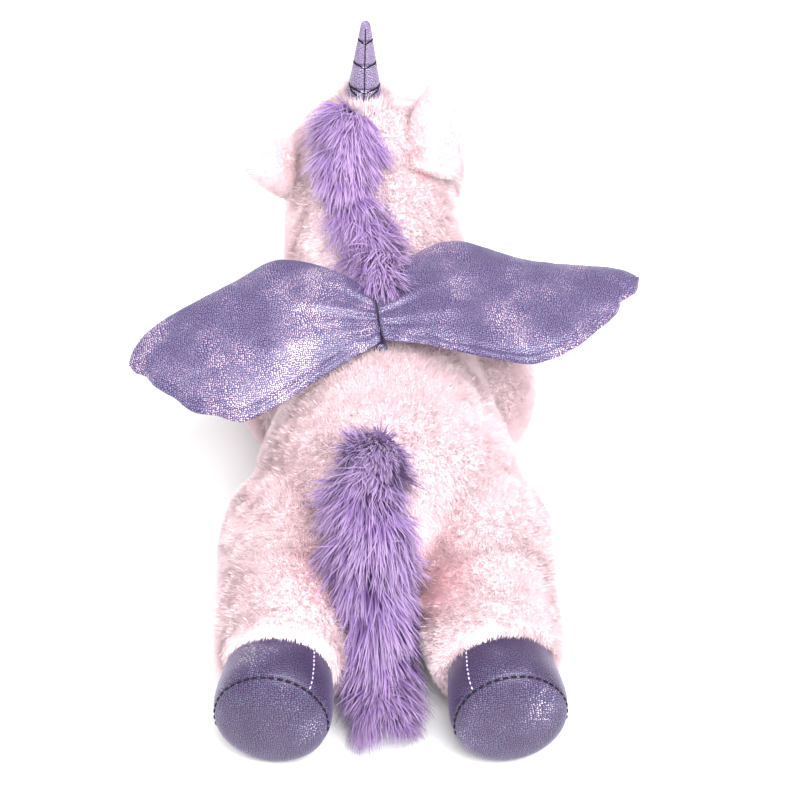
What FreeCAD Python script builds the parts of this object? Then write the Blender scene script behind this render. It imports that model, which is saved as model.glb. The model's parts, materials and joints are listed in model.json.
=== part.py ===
import FreeCAD, Part
import math
import os
import Sketcher

# A plush winged unicorn lying on its belly.
# Frame: +Y towards the nose, +X to the animal's right-hand side as seen from behind, +Z up.
# The origin is at floor level, below the middle of the outer box. Millimetres throughout.

Vector = FreeCAD.Vector
Rotation = FreeCAD.Rotation
Placement = FreeCAD.Placement

drivingSizes = {
    # cloth and clearances
    "wall": 2.5,
    "slack": 0.3,
    "swing_gap": 0.4,
    "far_away": 400,
    # torso: three overlapping balls along the back, sunk into the floor line by the toy's weight
    "rump_y": -68, "rump_z": 34, "rump_round": 58,
    "back_y": -30, "back_z": 37, "back_round": 55,
    "chest_y": 10, "chest_z": 41, "chest_round": 51,
    "belly_seam_z": 18,
    # neck, from inside the chest up to the middle of the head
    "neck_y": 20, "neck_z": 52,
    "neck_low": 45, "neck_high": 40,
    "gusset_thick": 3,
    # head, in its own frame: nose turned and crown tipped
    "head_x": -7, "head_y": 112, "head_z": 106,
    "head_ball": 44, "head_yaw": -14, "head_roll": -8,
    "muzzle_fore": 38, "muzzle_drop": 15,
    "muzzle_wide": 30, "muzzle_long": 36, "muzzle_tall": 27,
    "head_gusset_wide": 24, "head_gusset_low": -12,
    # eyes
    "eye_dome": 6.5, "eye_stem": 2, "eye_hole": 12, "eye_washer": 5, "eye_washer_thick": 1.2,
    "eye_fore": 0.64, "eye_side": 0.70, "eye_up": 0.31,
    "nostril_wide": 2.6, "nostril_thick": 1.4, "nostril_out": 0.8, "nostril_up": 0.6,
    "nose_depth": 0.93, "mouth_thread": 0.9,
    # horn
    "horn_base": 10, "horn_tip": 2.2, "horn_tall": 40, "horn_cloth": 0.8,
    "horn_x": -12, "horn_y": 109, "horn_z": 150.5,
    "horn_thread": 0.5, "horn_rings": 3, "horn_ring_first": 0.06, "horn_ring_step": 0.34,
    # mane
    "crest_y": 90.4, "crest_z": 145.8, "crest_x": -15,
    "crest_long": 7.8, "crest_wide": 9, "crest_tall": 7.6, "crest_slope": 29,
    "nape_y": 33, "nape_z": 112, "nape_x": -8,
    "nape_long": 26, "nape_wide": 9, "nape_tall": 8, "nape_slope": 28,
    # ears
    "ear_length": 27, "ear_wide": 12, "ear_thick": 5, "ear_lift": 1.5,
    # wings
    "wing_x": -4.5, "wing_y": -10, "wing_z": 103.5,
    "wing_span": 122, "wing_chord": 39,
    "wing_cloth": 1.2, "wing_wadding": 5.4, "wing_yaw": 9,
    "wing_left_pitch": 24, "wing_right_pitch": 10,
    "tab_thick": 3, "tab_long": 34, "tab_tall": 16, "seam_thread": 0.8,
    # hind legs
    "hip_x": 40, "hip_y": -98, "hip_z": 34,
    "hind_ball": 33, "hind_near": 31, "hind_hoof": 26,
    "hind_sleeve": 55, "hind_total": 90, "hind_drop": 5, "hind_swing": 13,
    # fore legs
    "shoulder_x": 44, "shoulder_y": 24, "shoulder_z": 33,
    "fore_ball": 30, "fore_near": 28, "fore_hoof": 25,
    "fore_sleeve": 41, "fore_total": 73, "fore_drop": 5.8, "fore_swing": 11,
    "fore_left_total": 65, "fore_left_sleeve": 36,
    # hooves
    "sole_thick": 3, "sole_round": 2,
    # tail
    "tail_x": -1.5, "tail_core": 6, "tail_root": 8.7, "tail_clear": 9,
    "tail_root_angle": 66, "tail_foot": 26, "tail_end": 18,
}

# how far each leg points away from straight ahead or straight back, degrees
legSplay = {"hindleg_left": 6, "hindleg_right": 8.5, "foreleg_left": 18, "foreleg_right": 24}

# wing outline as arcs through three points: fractions of the span outward and of the chord forward
wingOutline = [
    ((0.033, 0.44), (0.15, 0.85), (0.345, 1.0)),
    ((0.345, 1.0), (0.50, 0.82), (0.655, 0.615)),
    ((0.655, 0.615), (0.83, 0.45), (0.967, 0.205)),
    ((0.967, 0.205), (1.0, 0.05), (0.94, -0.14)),
    ((0.94, -0.14), (0.895, -0.36), (0.82, -0.525)),
    ((0.82, -0.525), (0.77, -0.72), (0.69, -0.82)),
    ((0.69, -0.82), (0.58, -1.01), (0.426, -0.90)),
    ((0.426, -0.90), (0.23, -0.60), (0.033, -0.385)),
]

doc = FreeCAD.newDocument("plush_unicorn")
sheet = doc.addObject("Spreadsheet::Sheet", "dims")
subParts = []


def fillSheet():
    for row, (alias, value) in enumerate(drivingSizes.items(), start=1):
        sheet.set(f"A{row}", alias)
        sheet.set(f"B{row}", str(value))
        sheet.setAlias(f"B{row}", alias)
    doc.recompute()


def size(alias):
    return float(sheet.get(alias))


def spot(prefix):
    return Vector(size(prefix + "_x"), size(prefix + "_y"), size(prefix + "_z"))


def bind(item, **expressions):
    for name, expression in expressions.items():
        item.setExpression(name, expression)
    return item


def keep(item, label):
    # marks an object as a finished sub-part; its label names its file
    item.Label = label
    subParts.append(item)
    return item


def facing(along, across=Vector(1, 0, 0)):
    # a turn that carries Z onto "along" and keeps X close to "across"
    return Rotation(across, Vector(), along, "ZXY")


# ---- plain shapes -------------------------------------------------------------------------

def ball(name, centre, radius):
    item = bind(doc.addObject("Part::Sphere", name), Radius=radius)
    item.Placement = Placement(centre, Rotation())
    return item


def egg(name, centre, wide, long, tall, turn=Rotation()):
    # half sizes along X, Y and Z
    item = bind(doc.addObject("Part::Ellipsoid", name), Radius2=wide, Radius3=long, Radius1=tall)
    item.Placement = Placement(centre, turn)
    return item


def taper(name, start, along, near, far, height):
    # a cone between two radii, drawn from its far end back towards its start
    item = bind(doc.addObject("Part::Cone", name), Radius1=far, Radius2=near, Height=height)
    item.Placement = Placement(start + along * sheetValue(height), facing(along * -1))
    return item


def rod(name, base, turn, radius, height):
    item = bind(doc.addObject("Part::Cylinder", name), Radius=radius, Height=height)
    item.Placement = Placement(base, turn)
    return item


def ring(name, centre, turn, bend, thread):
    item = bind(doc.addObject("Part::Torus", name), Radius1=bend, Radius2=thread)
    item.Placement = Placement(centre, turn)
    return item


def block(name, corner, turn, length, width, height):
    item = bind(doc.addObject("Part::Box", name), Length=length, Width=width, Height=height)
    item.Placement = Placement(corner, turn)
    return item


def fuse(name, *items):
    item = doc.addObject("Part::MultiFuse", name)
    item.Shapes = list(items)
    return item


def cut(name, base, *tools):
    # takes the tools away one after another
    for index, tool in enumerate(tools):
        item = doc.addObject("Part::Cut", f"{name}_{index}")
        item.Base = base
        item.Tool = tool
        base = item
    return base


def common(name, *items):
    item = doc.addObject("Part::MultiCommon", name)
    item.Shapes = list(items)
    return item


def group(name, *items):
    item = doc.addObject("Part::Compound", name)
    item.Links = list(items)
    return item


def halfSpace(name, corner):
    # a block far larger than the toy, with one corner edge at "corner" and centred along its Y
    shift = Vector(0, -size("far_away") / 2, 0)
    return block(name, corner + shift, Rotation(), "dims.far_away", "dims.far_away",
                 "dims.far_away")


# ---- sketched shapes ----------------------------------------------------------------------

def newBody(name, plane):
    body = doc.addObject("PartDesign::Body", name)
    sketch = body.newObject("Sketcher::SketchObject", name + "_sketch")
    support = [item for item in body.Origin.OriginFeatures if item.Role == plane][0]
    sketch.AttachmentSupport = (support, [""])
    sketch.MapMode = "FlatFace"
    return body, sketch


def dimensionPoint(sketch, edge, across, up):
    # ties the start point of an edge to the sketch origin by two driven distances
    for kind, axis, expression in (("DistanceX", -2, across), ("DistanceY", -1, up)):
        if expression == "0":
            sketch.addConstraint(Sketcher.Constraint("PointOnObject", edge, 1, axis))
            continue
        start = sketch.getPoint(edge, 1)
        value = start.x if kind == "DistanceX" else start.y
        index = sketch.addConstraint(Sketcher.Constraint(kind, -1, 1, edge, 1, value))
        sketch.setExpression(f"Constraints[{index}]", expression)


def lathe(name, corners):
    # a closed outline of straight edges, given as (radius, height) expressions, turned about Z
    body, sketch = newBody(name, "XZ_Plane")
    points = [Vector(sheetValue(across), sheetValue(up), 0) for across, up in corners]
    count = len(points)
    for index in range(count):
        sketch.addGeometry(Part.LineSegment(points[index], points[(index + 1) % count]))
    for index in range(count):
        joint = Sketcher.Constraint("Coincident", index, 2, (index + 1) % count, 1)
        sketch.addConstraint(joint)
    for index, (across, up) in enumerate(corners):
        dimensionPoint(sketch, index, across, up)
    turned = body.newObject("PartDesign::Revolution", name + "_turned")
    turned.Profile = sketch
    turned.ReferenceAxis = (sketch, ["V_Axis"])
    turned.Angle = 360
    body.Tip = turned
    return body


def sheetValue(expression):
    # works an expression out once, for the first drawing of a sketch
    return float(sheet.evalExpression(expression.replace("dims.", "")))


def disc(name, radius, thick, rounding):
    # a round pad with its lower edge rounded over
    body, sketch = newBody(name, "XY_Plane")
    circle = sketch.addGeometry(Part.Circle(Vector(), Vector(0, 0, 1), sheetValue(radius)))
    sketch.addConstraint(Sketcher.Constraint("Coincident", circle, 3, -1, 1))
    index = sketch.addConstraint(Sketcher.Constraint("Radius", circle, sheetValue(radius)))
    sketch.setExpression(f"Constraints[{index}]", radius)
    pad = bind(padded(body, sketch, name), Length=thick)
    doc.recompute()
    soft = body.newObject("PartDesign::Fillet", name + "_rounded")
    topEdge = max(range(len(pad.Shape.Edges)), key=lambda i: pad.Shape.Edges[i].CenterOfMass.z)
    soft.Base = (pad, [f"Edge{topEdge + 1}"])
    bind(soft, Radius=rounding)
    body.Tip = soft
    return body


def padded(body, sketch, name):
    pad = body.newObject("PartDesign::Pad", name + "_pad")
    pad.Profile = sketch
    body.Tip = pad
    return pad


# ---- torso --------------------------------------------------------------------------------

def neckDirection():
    return (spot("head") - Vector(0, size("neck_y"), size("neck_z"))).normalize()


def torsoForm(name, inset):
    # rump, back, chest and neck column as one form, drawn in by "inset" all round
    parts = []
    for bulge in ("rump", "back", "chest"):
        centre = Vector(0, size(f"{bulge}_y"), size(f"{bulge}_z"))
        parts.append(ball(f"{name}_{bulge}", centre, f"dims.{bulge}_round{inset}"))
    low = Vector(0, size("neck_y"), size("neck_z"))
    reach = (spot("head") - low).Length
    parts.append(taper(f"{name}_neck", low, neckDirection(), "dims.neck_low" + inset,
                       "dims.neck_high" + inset, f"{reach:.3f}"))
    return fuse(name, *parts)


def legFrame(name):
    # where a leg is hung and the way it points
    hind = name.startswith("hind")
    side = -1 if name.endswith("left") else 1
    hang = spot("hip" if hind else "shoulder")
    splay = math.radians(legSplay[name])
    drop = math.radians(size("hind_drop" if hind else "fore_drop"))
    ahead = -1 if hind else 1
    level = math.cos(drop)
    along = Vector(side * math.sin(splay) * level, ahead * math.cos(splay) * level, -math.sin(drop))
    return Vector(side * hang.x, hang.y, hang.z), along


def legRoom(name):
    # the hollow in the torso that a leg's ball and its swing need
    kind = "hind" if name.startswith("hind") else "fore"
    centre, along = legFrame(name)
    widen = f"dims.{kind}_near + dims.swing_gap + dims.{kind}_total * tan(dims.{kind}_swing)"
    return [
        ball(name + "_room", centre, f"dims.{kind}_ball + dims.swing_gap"),
        taper(name + "_sweep", centre, along, f"dims.{kind}_near + dims.swing_gap", widen,
              f"dims.{kind}_total"),
    ]


def makeTorso():
    rooms = []
    for name in legSplay:
        rooms += legRoom(name)
    rooms.append(ball("neck_room", spot("head"),
                      "dims.head_ball + dims.gusset_thick + 2 * dims.slack"))
    floorBlock = halfSpace("above_floor", Vector(-size("far_away") / 2, 0, 0))
    liningBlock = halfSpace("above_lining", Vector(-size("far_away") / 2, 0, size("wall")))
    stuffBlock = halfSpace("above_stuffing",
                           Vector(-size("far_away") / 2, 0, size("wall") + size("slack")))
    outer = common("torso_outer", torsoForm("torso_form", ""), floorBlock)
    inner = common("torso_inner", torsoForm("torso_lining_form", " - dims.wall"), liningBlock)
    skin = cut("torso_skin", cut("torso_shell", outer, inner), *rooms)
    seam = size("belly_seam_z")
    rightUp = halfSpace("right_up", Vector(0, 0, seam))
    leftUp = halfSpace("left_up", Vector(-size("far_away"), 0, seam))
    keep(common("torso_right", skin, rightUp), "torso_right_panel")
    keep(common("torso_left", skin, leftUp), "torso_left_panel")
    below = halfSpace("below_seam", Vector(-size("far_away") / 2, 0, seam - size("far_away")))
    keep(common("belly", skin, below), "belly_panel")
    filling = common("torso_filling", torsoForm("torso_stuffing_form", " - dims.wall - dims.slack"),
                     stuffBlock)
    keep(cut("torso_fill", filling, *rooms), "torso_stuffing")
    return outer


def makeNeck():
    low = Vector(0, size("neck_y"), size("neck_z"))
    reach = (spot("head") - low).Length
    outside = ball("gusset_outside", spot("head"), "dims.head_ball + dims.gusset_thick + dims.slack")
    inside = ball("gusset_inside", spot("head"), "dims.head_ball + dims.slack")
    column = taper("gusset_column", low, neckDirection(), "dims.neck_low", "dims.neck_high",
                   f"{reach:.3f}")
    keep(common("gusset", cut("gusset_shell", outside, inside), column), "neck_gusset")


# ---- head ---------------------------------------------------------------------------------

def headTurn():
    yaw = Rotation(Vector(0, 0, 1), size("head_yaw"))
    roll = Rotation(Vector(0, 1, 0), size("head_roll"))
    return yaw.multiply(roll)


def headPoint(across, ahead, up):
    return spot("head") + headTurn().multVec(Vector(across, ahead, up))


def headForm(name, inset):
    skull = ball(name + "_ball", spot("head"), "dims.head_ball" + inset)
    nose = egg(name + "_muzzle", headPoint(0, size("muzzle_fore"), -size("muzzle_drop")),
               "dims.muzzle_wide" + inset, "dims.muzzle_long" + inset, "dims.muzzle_tall" + inset,
               headTurn())
    return fuse(name, skull, nose)


def eyeLine(side):
    way = Vector(side * size("eye_side"), size("eye_fore"), size("eye_up"))
    return headTurn().multVec(way).normalize()


def makeHead():
    outer = headForm("head_form", "")
    shell = cut("head_shell", outer, headForm("head_lining", " - dims.wall"))
    stems = []
    pockets = []
    for side, label in ((-1, "left"), (1, "right")):
        way = eyeLine(side)
        turn = facing(way)
        surface = spot("head") + way * size("head_ball")
        inside = surface - way * (size("wall") + 2 * size("slack") + size("eye_washer_thick"))
        depth = "dims.wall + 3 * dims.slack + dims.eye_washer_thick"
        stems.append(rod(f"eye_hole_{label}", inside, turn, "dims.eye_stem + dims.slack",
                         "dims.eye_hole"))
        pockets.append(rod(f"eye_pocket_{label}", inside - way * size("slack"), turn,
                           "dims.eye_washer + dims.slack", "dims.eye_hole"))
        dome = ball(f"eye_dome_{label}", surface, "dims.eye_dome")
        stem = rod(f"eye_stem_{label}", inside, turn, "dims.eye_stem", depth)
        bead = cut(f"eye_bead_{label}", dome, outer)
        keep(fuse(f"eye_all_{label}", bead, stem), f"eye_{label}")
        plate = rod(f"washer_plate_{label}", inside, turn, "dims.eye_washer",
                    "dims.eye_washer_thick")
        hole = rod(f"washer_hole_{label}", inside - way, turn, "dims.eye_stem",
                   "dims.eye_washer_thick * 4")
        keep(cut(f"washer_{label}", plate, hole), f"eye_washer_{label}")
    skin = cut("head_skin", shell, *stems)
    reach = size("far_away")
    half = size("head_gusset_wide") / 2
    gussetBox = block("head_gusset_box", headPoint(-half, -reach / 2, size("head_gusset_low")),
                      headTurn(), "dims.head_gusset_wide", "dims.far_away", "dims.far_away")
    keep(common("head_middle", skin, gussetBox), "head_gusset")
    sides = cut("head_sides", skin, gussetBox)
    rightBox = block("head_right_box", headPoint(0, -reach / 2, -reach / 2), headTurn(),
                     "dims.far_away", "dims.far_away", "dims.far_away")
    keep(common("head_right", sides, rightBox), "head_right_panel")
    keep(cut("head_left", sides, rightBox), "head_left_panel")
    filling = headForm("head_filling", " - dims.wall - dims.slack")
    keep(cut("head_fill", filling, *pockets), "head_stuffing")
    return outer


def makeNose(headOuter):
    # both lie where the muzzle egg is cut across near its tip
    depth = size("nose_depth")
    across = math.sqrt(1 - depth ** 2)
    tip = size("muzzle_fore") + size("muzzle_long") * depth
    dots = []
    for side in (-1, 1):
        out = side * size("muzzle_wide") * across * size("nostril_out")
        above = size("muzzle_tall") * across * size("nostril_up")
        centre = headPoint(out, tip, -size("muzzle_drop") + above)
        dots.append(egg(f"nostril_{side + 1}", centre, "dims.nostril_wide", "dims.nostril_thick",
                        "dims.nostril_wide", headTurn()))
    keep(cut("nostrils", group("nostril_pair", *dots), headOuter), "nostril_stitching")
    turn = headTurn().multiply(Rotation(Vector(-1, 0, 0), Vector(0, 0, -1), Vector(0, -1, 0), "ZXY"))
    smile = ring("smile_ring", headPoint(0, tip, -size("muzzle_drop")), turn,
                 f"(dims.muzzle_wide + dims.muzzle_tall) * {across / 2:.4f}", "dims.mouth_thread")
    smile.Angle3 = 180
    keep(cut("smile", smile, headOuter), "mouth_stitching")


# how far the horn leans away from standing straight out of the head
hornLean = Vector(0.14, 0.13, 0)


def makeHorn():
    base = spot("horn")
    along = (base - spot("head")).normalize().add(hornLean).normalize()
    turn = facing(along)
    cover = lathe("horn_cover_body", [
        ("dims.horn_base - dims.horn_cloth", "0"),
        ("dims.horn_base", "0"),
        ("dims.horn_tip", "dims.horn_tall"),
        ("0", "dims.horn_tall + dims.horn_tip * 0.6"),
        ("0", "dims.horn_tall - dims.horn_cloth"),
        ("dims.horn_tip - dims.horn_cloth", "dims.horn_tall - dims.horn_cloth"),
    ])
    cover.Placement = Placement(base, turn)
    keep(cover, "horn_cover")
    inset = " - dims.horn_cloth - dims.slack"
    filling = taper("horn_filling", base, along, "dims.horn_base" + inset, "dims.horn_tip" + inset,
                    "dims.horn_tall - dims.horn_cloth - dims.slack")
    keep(filling, "horn_stuffing")
    rings = []
    count = int(size("horn_rings"))
    for index in range(count):
        part = size("horn_ring_first") + index * size("horn_ring_step")
        height = part * size("horn_tall")
        wide = f"dims.horn_base + (dims.horn_tip - dims.horn_base) * {part:.2f} + dims.horn_thread"
        centre = base + turn.multVec(Vector(0, 0, height))
        rings.append(ring(f"horn_ring_{index}", centre, turn, wide, "dims.horn_thread"))
    raw = group("horn_rings_all", *rings)
    solid = taper("horn_outside", base, along, "dims.horn_base", "dims.horn_tip", "dims.horn_tall")
    keep(cut("horn_rings_cut", raw, solid), "horn_thread")


def makeMane(headOuter, torsoOuter):
    tilt = Rotation(Vector(1, 0, 0), size("crest_slope"))
    crest = egg("crest_egg", spot("crest"), "dims.crest_wide", "dims.crest_long",
                "dims.crest_tall", tilt)
    keep(cut("crest", crest, headOuter), "mane_crest")
    slope = Rotation(Vector(1, 0, 0), size("nape_slope"))
    nape = egg("nape_egg", spot("nape"), "dims.nape_wide", "dims.nape_long", "dims.nape_tall", slope)
    keep(cut("nape", nape, torsoOuter), "mane_nape")


# ---- ears ---------------------------------------------------------------------------------

earPlaces = {
    # foot on the head, the way the ear points, the way its furry back looks
    "left": (Vector(-49.5, 105, 115), Vector(-0.967, 0, 0.25), Vector(0.155, -0.766, 0.603)),
    "right": (Vector(20, 86, 135), Vector(0.34, 0.40, 0.85), Vector(-0.04, -0.81, 0.575)),
}


def makeEar(label):
    foot, along, back = earPlaces[label]
    along = Vector(along).normalize()
    turn = Rotation(Vector(), Vector(back), along, "ZYX")
    half = size("ear_length") / 2
    middle = foot + along * (size("ear_lift") + half)
    form = egg(f"ear_form_{label}", middle, "dims.ear_wide", "dims.ear_thick",
               "dims.ear_length / 2", turn)
    reach = size("far_away")
    corner = middle + turn.multVec(Vector(-reach / 2, 0, -reach / 2))
    backBox = block(f"ear_back_box_{label}", corner, turn, "dims.far_away", "dims.far_away",
                    "dims.far_away")
    keep(common(f"ear_back_half_{label}", form, backBox), f"ear_{label}_back")
    keep(cut(f"ear_front_half_{label}", form, backBox), f"ear_{label}_lining")


# ---- wings --------------------------------------------------------------------------------

def wingTurn(label):
    # local X runs outward along the wing, Y forward along the chord, Z out of the upper panel
    side = -1 if label == "left" else 1
    pitch = Rotation(Vector(1, 0, 0), size(f"wing_{label}_pitch"))
    level = pitch.multiply(Rotation(Vector(0, 0, 1), size("wing_yaw")))
    outward = level.multVec(Vector(side, 0, 0))
    upward = level.multVec(Vector(0, 0, 1))
    return Rotation(outward, Vector(), upward, "ZXY")


def wingLayer(label, layer, start, thick):
    # one flat layer cut to the wing's outline, "start" above the middle plane
    side = -1 if label == "left" else 1
    body, sketch = newBody(f"wing_{label}_{layer}_body", "XY_Plane")
    span = size("wing_span")
    chord = size("wing_chord") * side
    for arc in wingOutline:
        ends = [Vector(out * span, fore * chord, 0) for out, fore in arc]
        sketch.addGeometry(Part.Arc(*ends))
    rootTop = Vector(wingOutline[0][0][0] * span, wingOutline[0][0][1] * chord, 0)
    rootLow = Vector(wingOutline[-1][2][0] * span, wingOutline[-1][2][1] * chord, 0)
    sketch.addGeometry(Part.LineSegment(rootLow, rootTop))
    for index in range(len(wingOutline) + 1):
        sketch.addConstraint(Sketcher.Constraint("Block", index))
    bind(padded(body, sketch, body.Name), Length=thick)
    turn = wingTurn(label)
    body.Placement = Placement(spot("wing") + turn.multVec(Vector(0, 0, start)), turn)
    keep(body, f"wing_{label}_{layer}")


def makeWing(label):
    cloth = size("wing_cloth")
    wadding = size("wing_wadding")
    wingLayer(label, "wadding", -wadding / 2, "dims.wing_wadding")
    wingLayer(label, "top", wadding / 2, "dims.wing_cloth")
    wingLayer(label, "under", -wadding / 2 - cloth, "dims.wing_cloth")


def makeWingSeam(torsoOuter):
    turn = Rotation(Vector(0, 0, 1), size("wing_yaw"))
    corner = spot("wing") + turn.multVec(Vector(-size("tab_thick") / 2, -size("tab_long") / 2,
                                                -size("tab_tall") - 1))
    tab = block("tab_block", corner, turn, "dims.tab_thick", "dims.tab_long", "dims.tab_tall")
    keep(cut("tab", tab, torsoOuter), "wing_seam_tab")
    along = turn.multVec(Vector(0, 1, 0))
    start = spot("wing") - along * (size("tab_long") / 2) + Vector(0, 0, size("seam_thread") - 1)
    thread = rod("seam_rod", start, facing(along), "dims.seam_thread", "dims.tab_long")
    keep(thread, "wing_seam_thread")


# ---- legs ---------------------------------------------------------------------------------

def makeLeg(name):
    kind = "hind" if name.startswith("hind") else "fore"
    short = name == "foreleg_left"
    total = "dims.fore_left_total" if short else f"dims.{kind}_total"
    sleeve = "dims.fore_left_sleeve" if short else f"dims.{kind}_sleeve"
    near = f"dims.{kind}_near"
    hoof = f"dims.{kind}_hoof"
    knob = f"dims.{kind}_ball"
    centre, along = legFrame(name)
    turn = facing(along)

    def limb(tag, inset, length):
        joint = ball(f"{name}_{tag}_ball", centre, knob + inset)
        tube = taper(f"{name}_{tag}_tube", centre, along, near + inset, hoof + inset, length)
        return fuse(f"{name}_{tag}", joint, tube)

    outer = limb("outer", "", total)
    shell = cut(f"{name}_shell", outer, limb("lining", " - dims.wall", total))
    hoofStart = centre + along * sheetValue(sleeve)
    zone = rod(f"{name}_hoof_zone", hoofStart, turn, "dims.far_away / 4", "dims.far_away / 4")
    keep(cut(f"{name}_sleeve", shell, zone), f"{name}_skin")
    soleStart = centre + along * (sheetValue(total) - size("sole_thick"))
    soleZone = rod(f"{name}_sole_zone", soleStart, turn, "dims.far_away / 4", "dims.far_away / 4")
    hoofShell = common(f"{name}_hoof_shell", shell, zone)
    keep(cut(f"{name}_hoof", hoofShell, soleZone), f"{name}_hoof_upper")
    filling = limb("filling", " - dims.wall - dims.slack", total)
    keep(cut(f"{name}_fill", filling, soleZone), f"{name}_stuffing")
    sole = disc(f"{name}_sole_body", hoof, "dims.sole_thick", "dims.sole_round")
    sole.Placement = Placement(soleStart, turn)
    keep(sole, f"{name}_hoof_sole")


# ---- tail ---------------------------------------------------------------------------------

def tailPath():
    # over the rump on one arc about its centre, then a turn onto the floor, then straight back
    bend = size("rump_round") + size("tail_clear")
    foot = size("tail_foot")
    middle = Vector(size("tail_x"), size("rump_y"), size("rump_z"))

    def onBend(angle):
        turned = math.radians(angle)
        return middle + Vector(0, -bend * math.cos(turned), bend * math.sin(turned))

    rootPoint = onBend(size("tail_root_angle"))
    backPoint = onBend(0)
    footMiddle = backPoint + Vector(0, -foot, 0)
    slant = math.radians(45)
    footPoint = footMiddle + Vector(0, foot * math.cos(slant), -foot * math.sin(slant))
    floorPoint = footMiddle + Vector(0, 0, -foot)
    endPoint = floorPoint + Vector(0, -size("tail_end"), 0)
    over = Part.Arc(rootPoint, onBend(size("tail_root_angle") / 2), backPoint).toShape()
    down = Part.Arc(backPoint, footPoint, floorPoint).toShape()
    flat = Part.LineSegment(floorPoint, endPoint).toShape()
    return rootPoint, Part.Wire([over, down, flat])


def makeTail():
    rootPoint, wire = tailPath()
    spine = doc.addObject("Part::Feature", "tail_spine")
    spine.Shape = wire
    angle = math.radians(size("tail_root_angle"))
    away = Vector(0, -math.sin(angle), -math.cos(angle))
    section = bind(doc.addObject("Part::Circle", "tail_section"), Radius="dims.tail_core")
    section.Placement = Placement(rootPoint, facing(away))
    sweep = doc.addObject("Part::Sweep", "tail_sweep")
    sweep.Sections = [section]
    sweep.Spine = (spine, ["Edge1", "Edge2", "Edge3"])
    sweep.Solid = True
    socket = ball("tail_socket", rootPoint, "dims.tail_root + dims.swing_gap")
    keep(cut("tail", sweep, socket), "tail_core")
    keep(ball("tail_knob", rootPoint, "dims.tail_root"), "tail_root")


# ---- checks and files ---------------------------------------------------------------------

def checkAll():
    doc.recompute()
    for item in doc.Objects:
        bad = [state for state in item.State if state in ("Invalid", "Error")]
        if bad:
            raise RuntimeError(f"{item.Name} failed: {bad}")
    for item in subParts:
        if item.Shape.isNull() or not item.Shape.isValid() or not item.Shape.Solids:
            raise RuntimeError(f"{item.Label} has no valid solid")


def writeAll():
    os.makedirs("parts", exist_ok=True)
    for item in subParts:
        item.Shape.exportStep(f"parts/{item.Label}.step")
        box = item.Shape.BoundBox
        print(f"{item.Label:26s} solids {len(item.Shape.Solids)}  volume {item.Shape.Volume:10.0f}"
              f"  x {box.XMin:7.1f} {box.XMax:7.1f}  y {box.YMin:7.1f} {box.YMax:7.1f}"
              f"  z {box.ZMin:7.1f} {box.ZMax:7.1f}")


fillSheet()
torsoOuter = makeTorso()
makeNeck()
headOuter = makeHead()
makeNose(headOuter)
makeHorn()
makeMane(headOuter, torsoOuter)
for label in ("left", "right"):
    makeEar(label)
    makeWing(label)
makeWingSeam(torsoOuter)
for leg in legSplay:
    makeLeg(leg)
makeTail()
checkAll()
writeAll()
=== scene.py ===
import json
import math
import bpy
import numpy as np
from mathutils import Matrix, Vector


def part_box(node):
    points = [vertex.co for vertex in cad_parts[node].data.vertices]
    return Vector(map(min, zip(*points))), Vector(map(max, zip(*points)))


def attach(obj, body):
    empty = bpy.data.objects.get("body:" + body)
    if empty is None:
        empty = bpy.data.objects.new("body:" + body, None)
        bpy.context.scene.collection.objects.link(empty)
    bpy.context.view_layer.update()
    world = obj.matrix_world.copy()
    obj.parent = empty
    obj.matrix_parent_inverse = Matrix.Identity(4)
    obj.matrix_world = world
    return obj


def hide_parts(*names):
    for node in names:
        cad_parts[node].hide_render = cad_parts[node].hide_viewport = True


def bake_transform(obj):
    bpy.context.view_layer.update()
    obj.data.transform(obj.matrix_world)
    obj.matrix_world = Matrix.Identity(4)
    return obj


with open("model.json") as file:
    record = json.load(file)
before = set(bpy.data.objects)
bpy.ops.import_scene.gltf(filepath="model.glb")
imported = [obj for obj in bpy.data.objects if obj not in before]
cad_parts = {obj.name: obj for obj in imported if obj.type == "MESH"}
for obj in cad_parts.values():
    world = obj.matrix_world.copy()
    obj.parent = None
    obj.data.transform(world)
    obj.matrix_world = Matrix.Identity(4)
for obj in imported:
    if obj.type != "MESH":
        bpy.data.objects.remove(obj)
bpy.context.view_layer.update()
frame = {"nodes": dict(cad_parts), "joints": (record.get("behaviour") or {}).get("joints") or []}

# Plush unicorn lying on its belly. Metres, +Y to the nose, +Z up; sizes below are in mm.
mm = 0.001
joints = {joint["name"]: joint for joint in frame["joints"]}


def unit(vectors):
    # each vector divided by its own length
    vectors = np.asarray(vectors, float)
    return vectors / np.maximum(np.linalg.norm(vectors, axis=-1, keepdims=True), 1e-9)


def pivot(name):
    # a joint's place
    return np.array(joints[name]["pos_m"]) / mm


def axisOf(name):
    # a joint's direction
    return unit(joints[name]["axis"])


def boxMiddle(node):
    # half way between a node's lowest and highest corners
    low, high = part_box(node)
    return (np.array(low) + np.array(high)) / 2 / mm


def nodePoints(node):
    # all of a node's points
    vertices = frame["nodes"][node].data.vertices
    found = np.empty(len(vertices) * 3)
    vertices.foreach_get("co", found)
    return found.reshape(-1, 3) / mm


def throughKnots(knots, where):
    # a smooth curve through the knots (Catmull-Rom): "where" runs 0 at the first to 1 at the last
    knots = np.asarray(knots, float)
    last = len(knots) - 1
    place = np.clip(where, 0, 1) * last
    left = np.minimum(place.astype(int), last - 1)
    part = (place - left)[..., None]
    ends = np.vstack([2 * knots[0] - knots[1], knots, 2 * knots[-1] - knots[-2]])
    a, b, c, d = (ends[left + shift] for shift in range(4))
    return 0.5 * (2 * b + (c - a) * part + (2 * a - 5 * b + 4 * c - d) * part ** 2
                  + (3 * b - a - 3 * c + d) * part ** 3)


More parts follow.
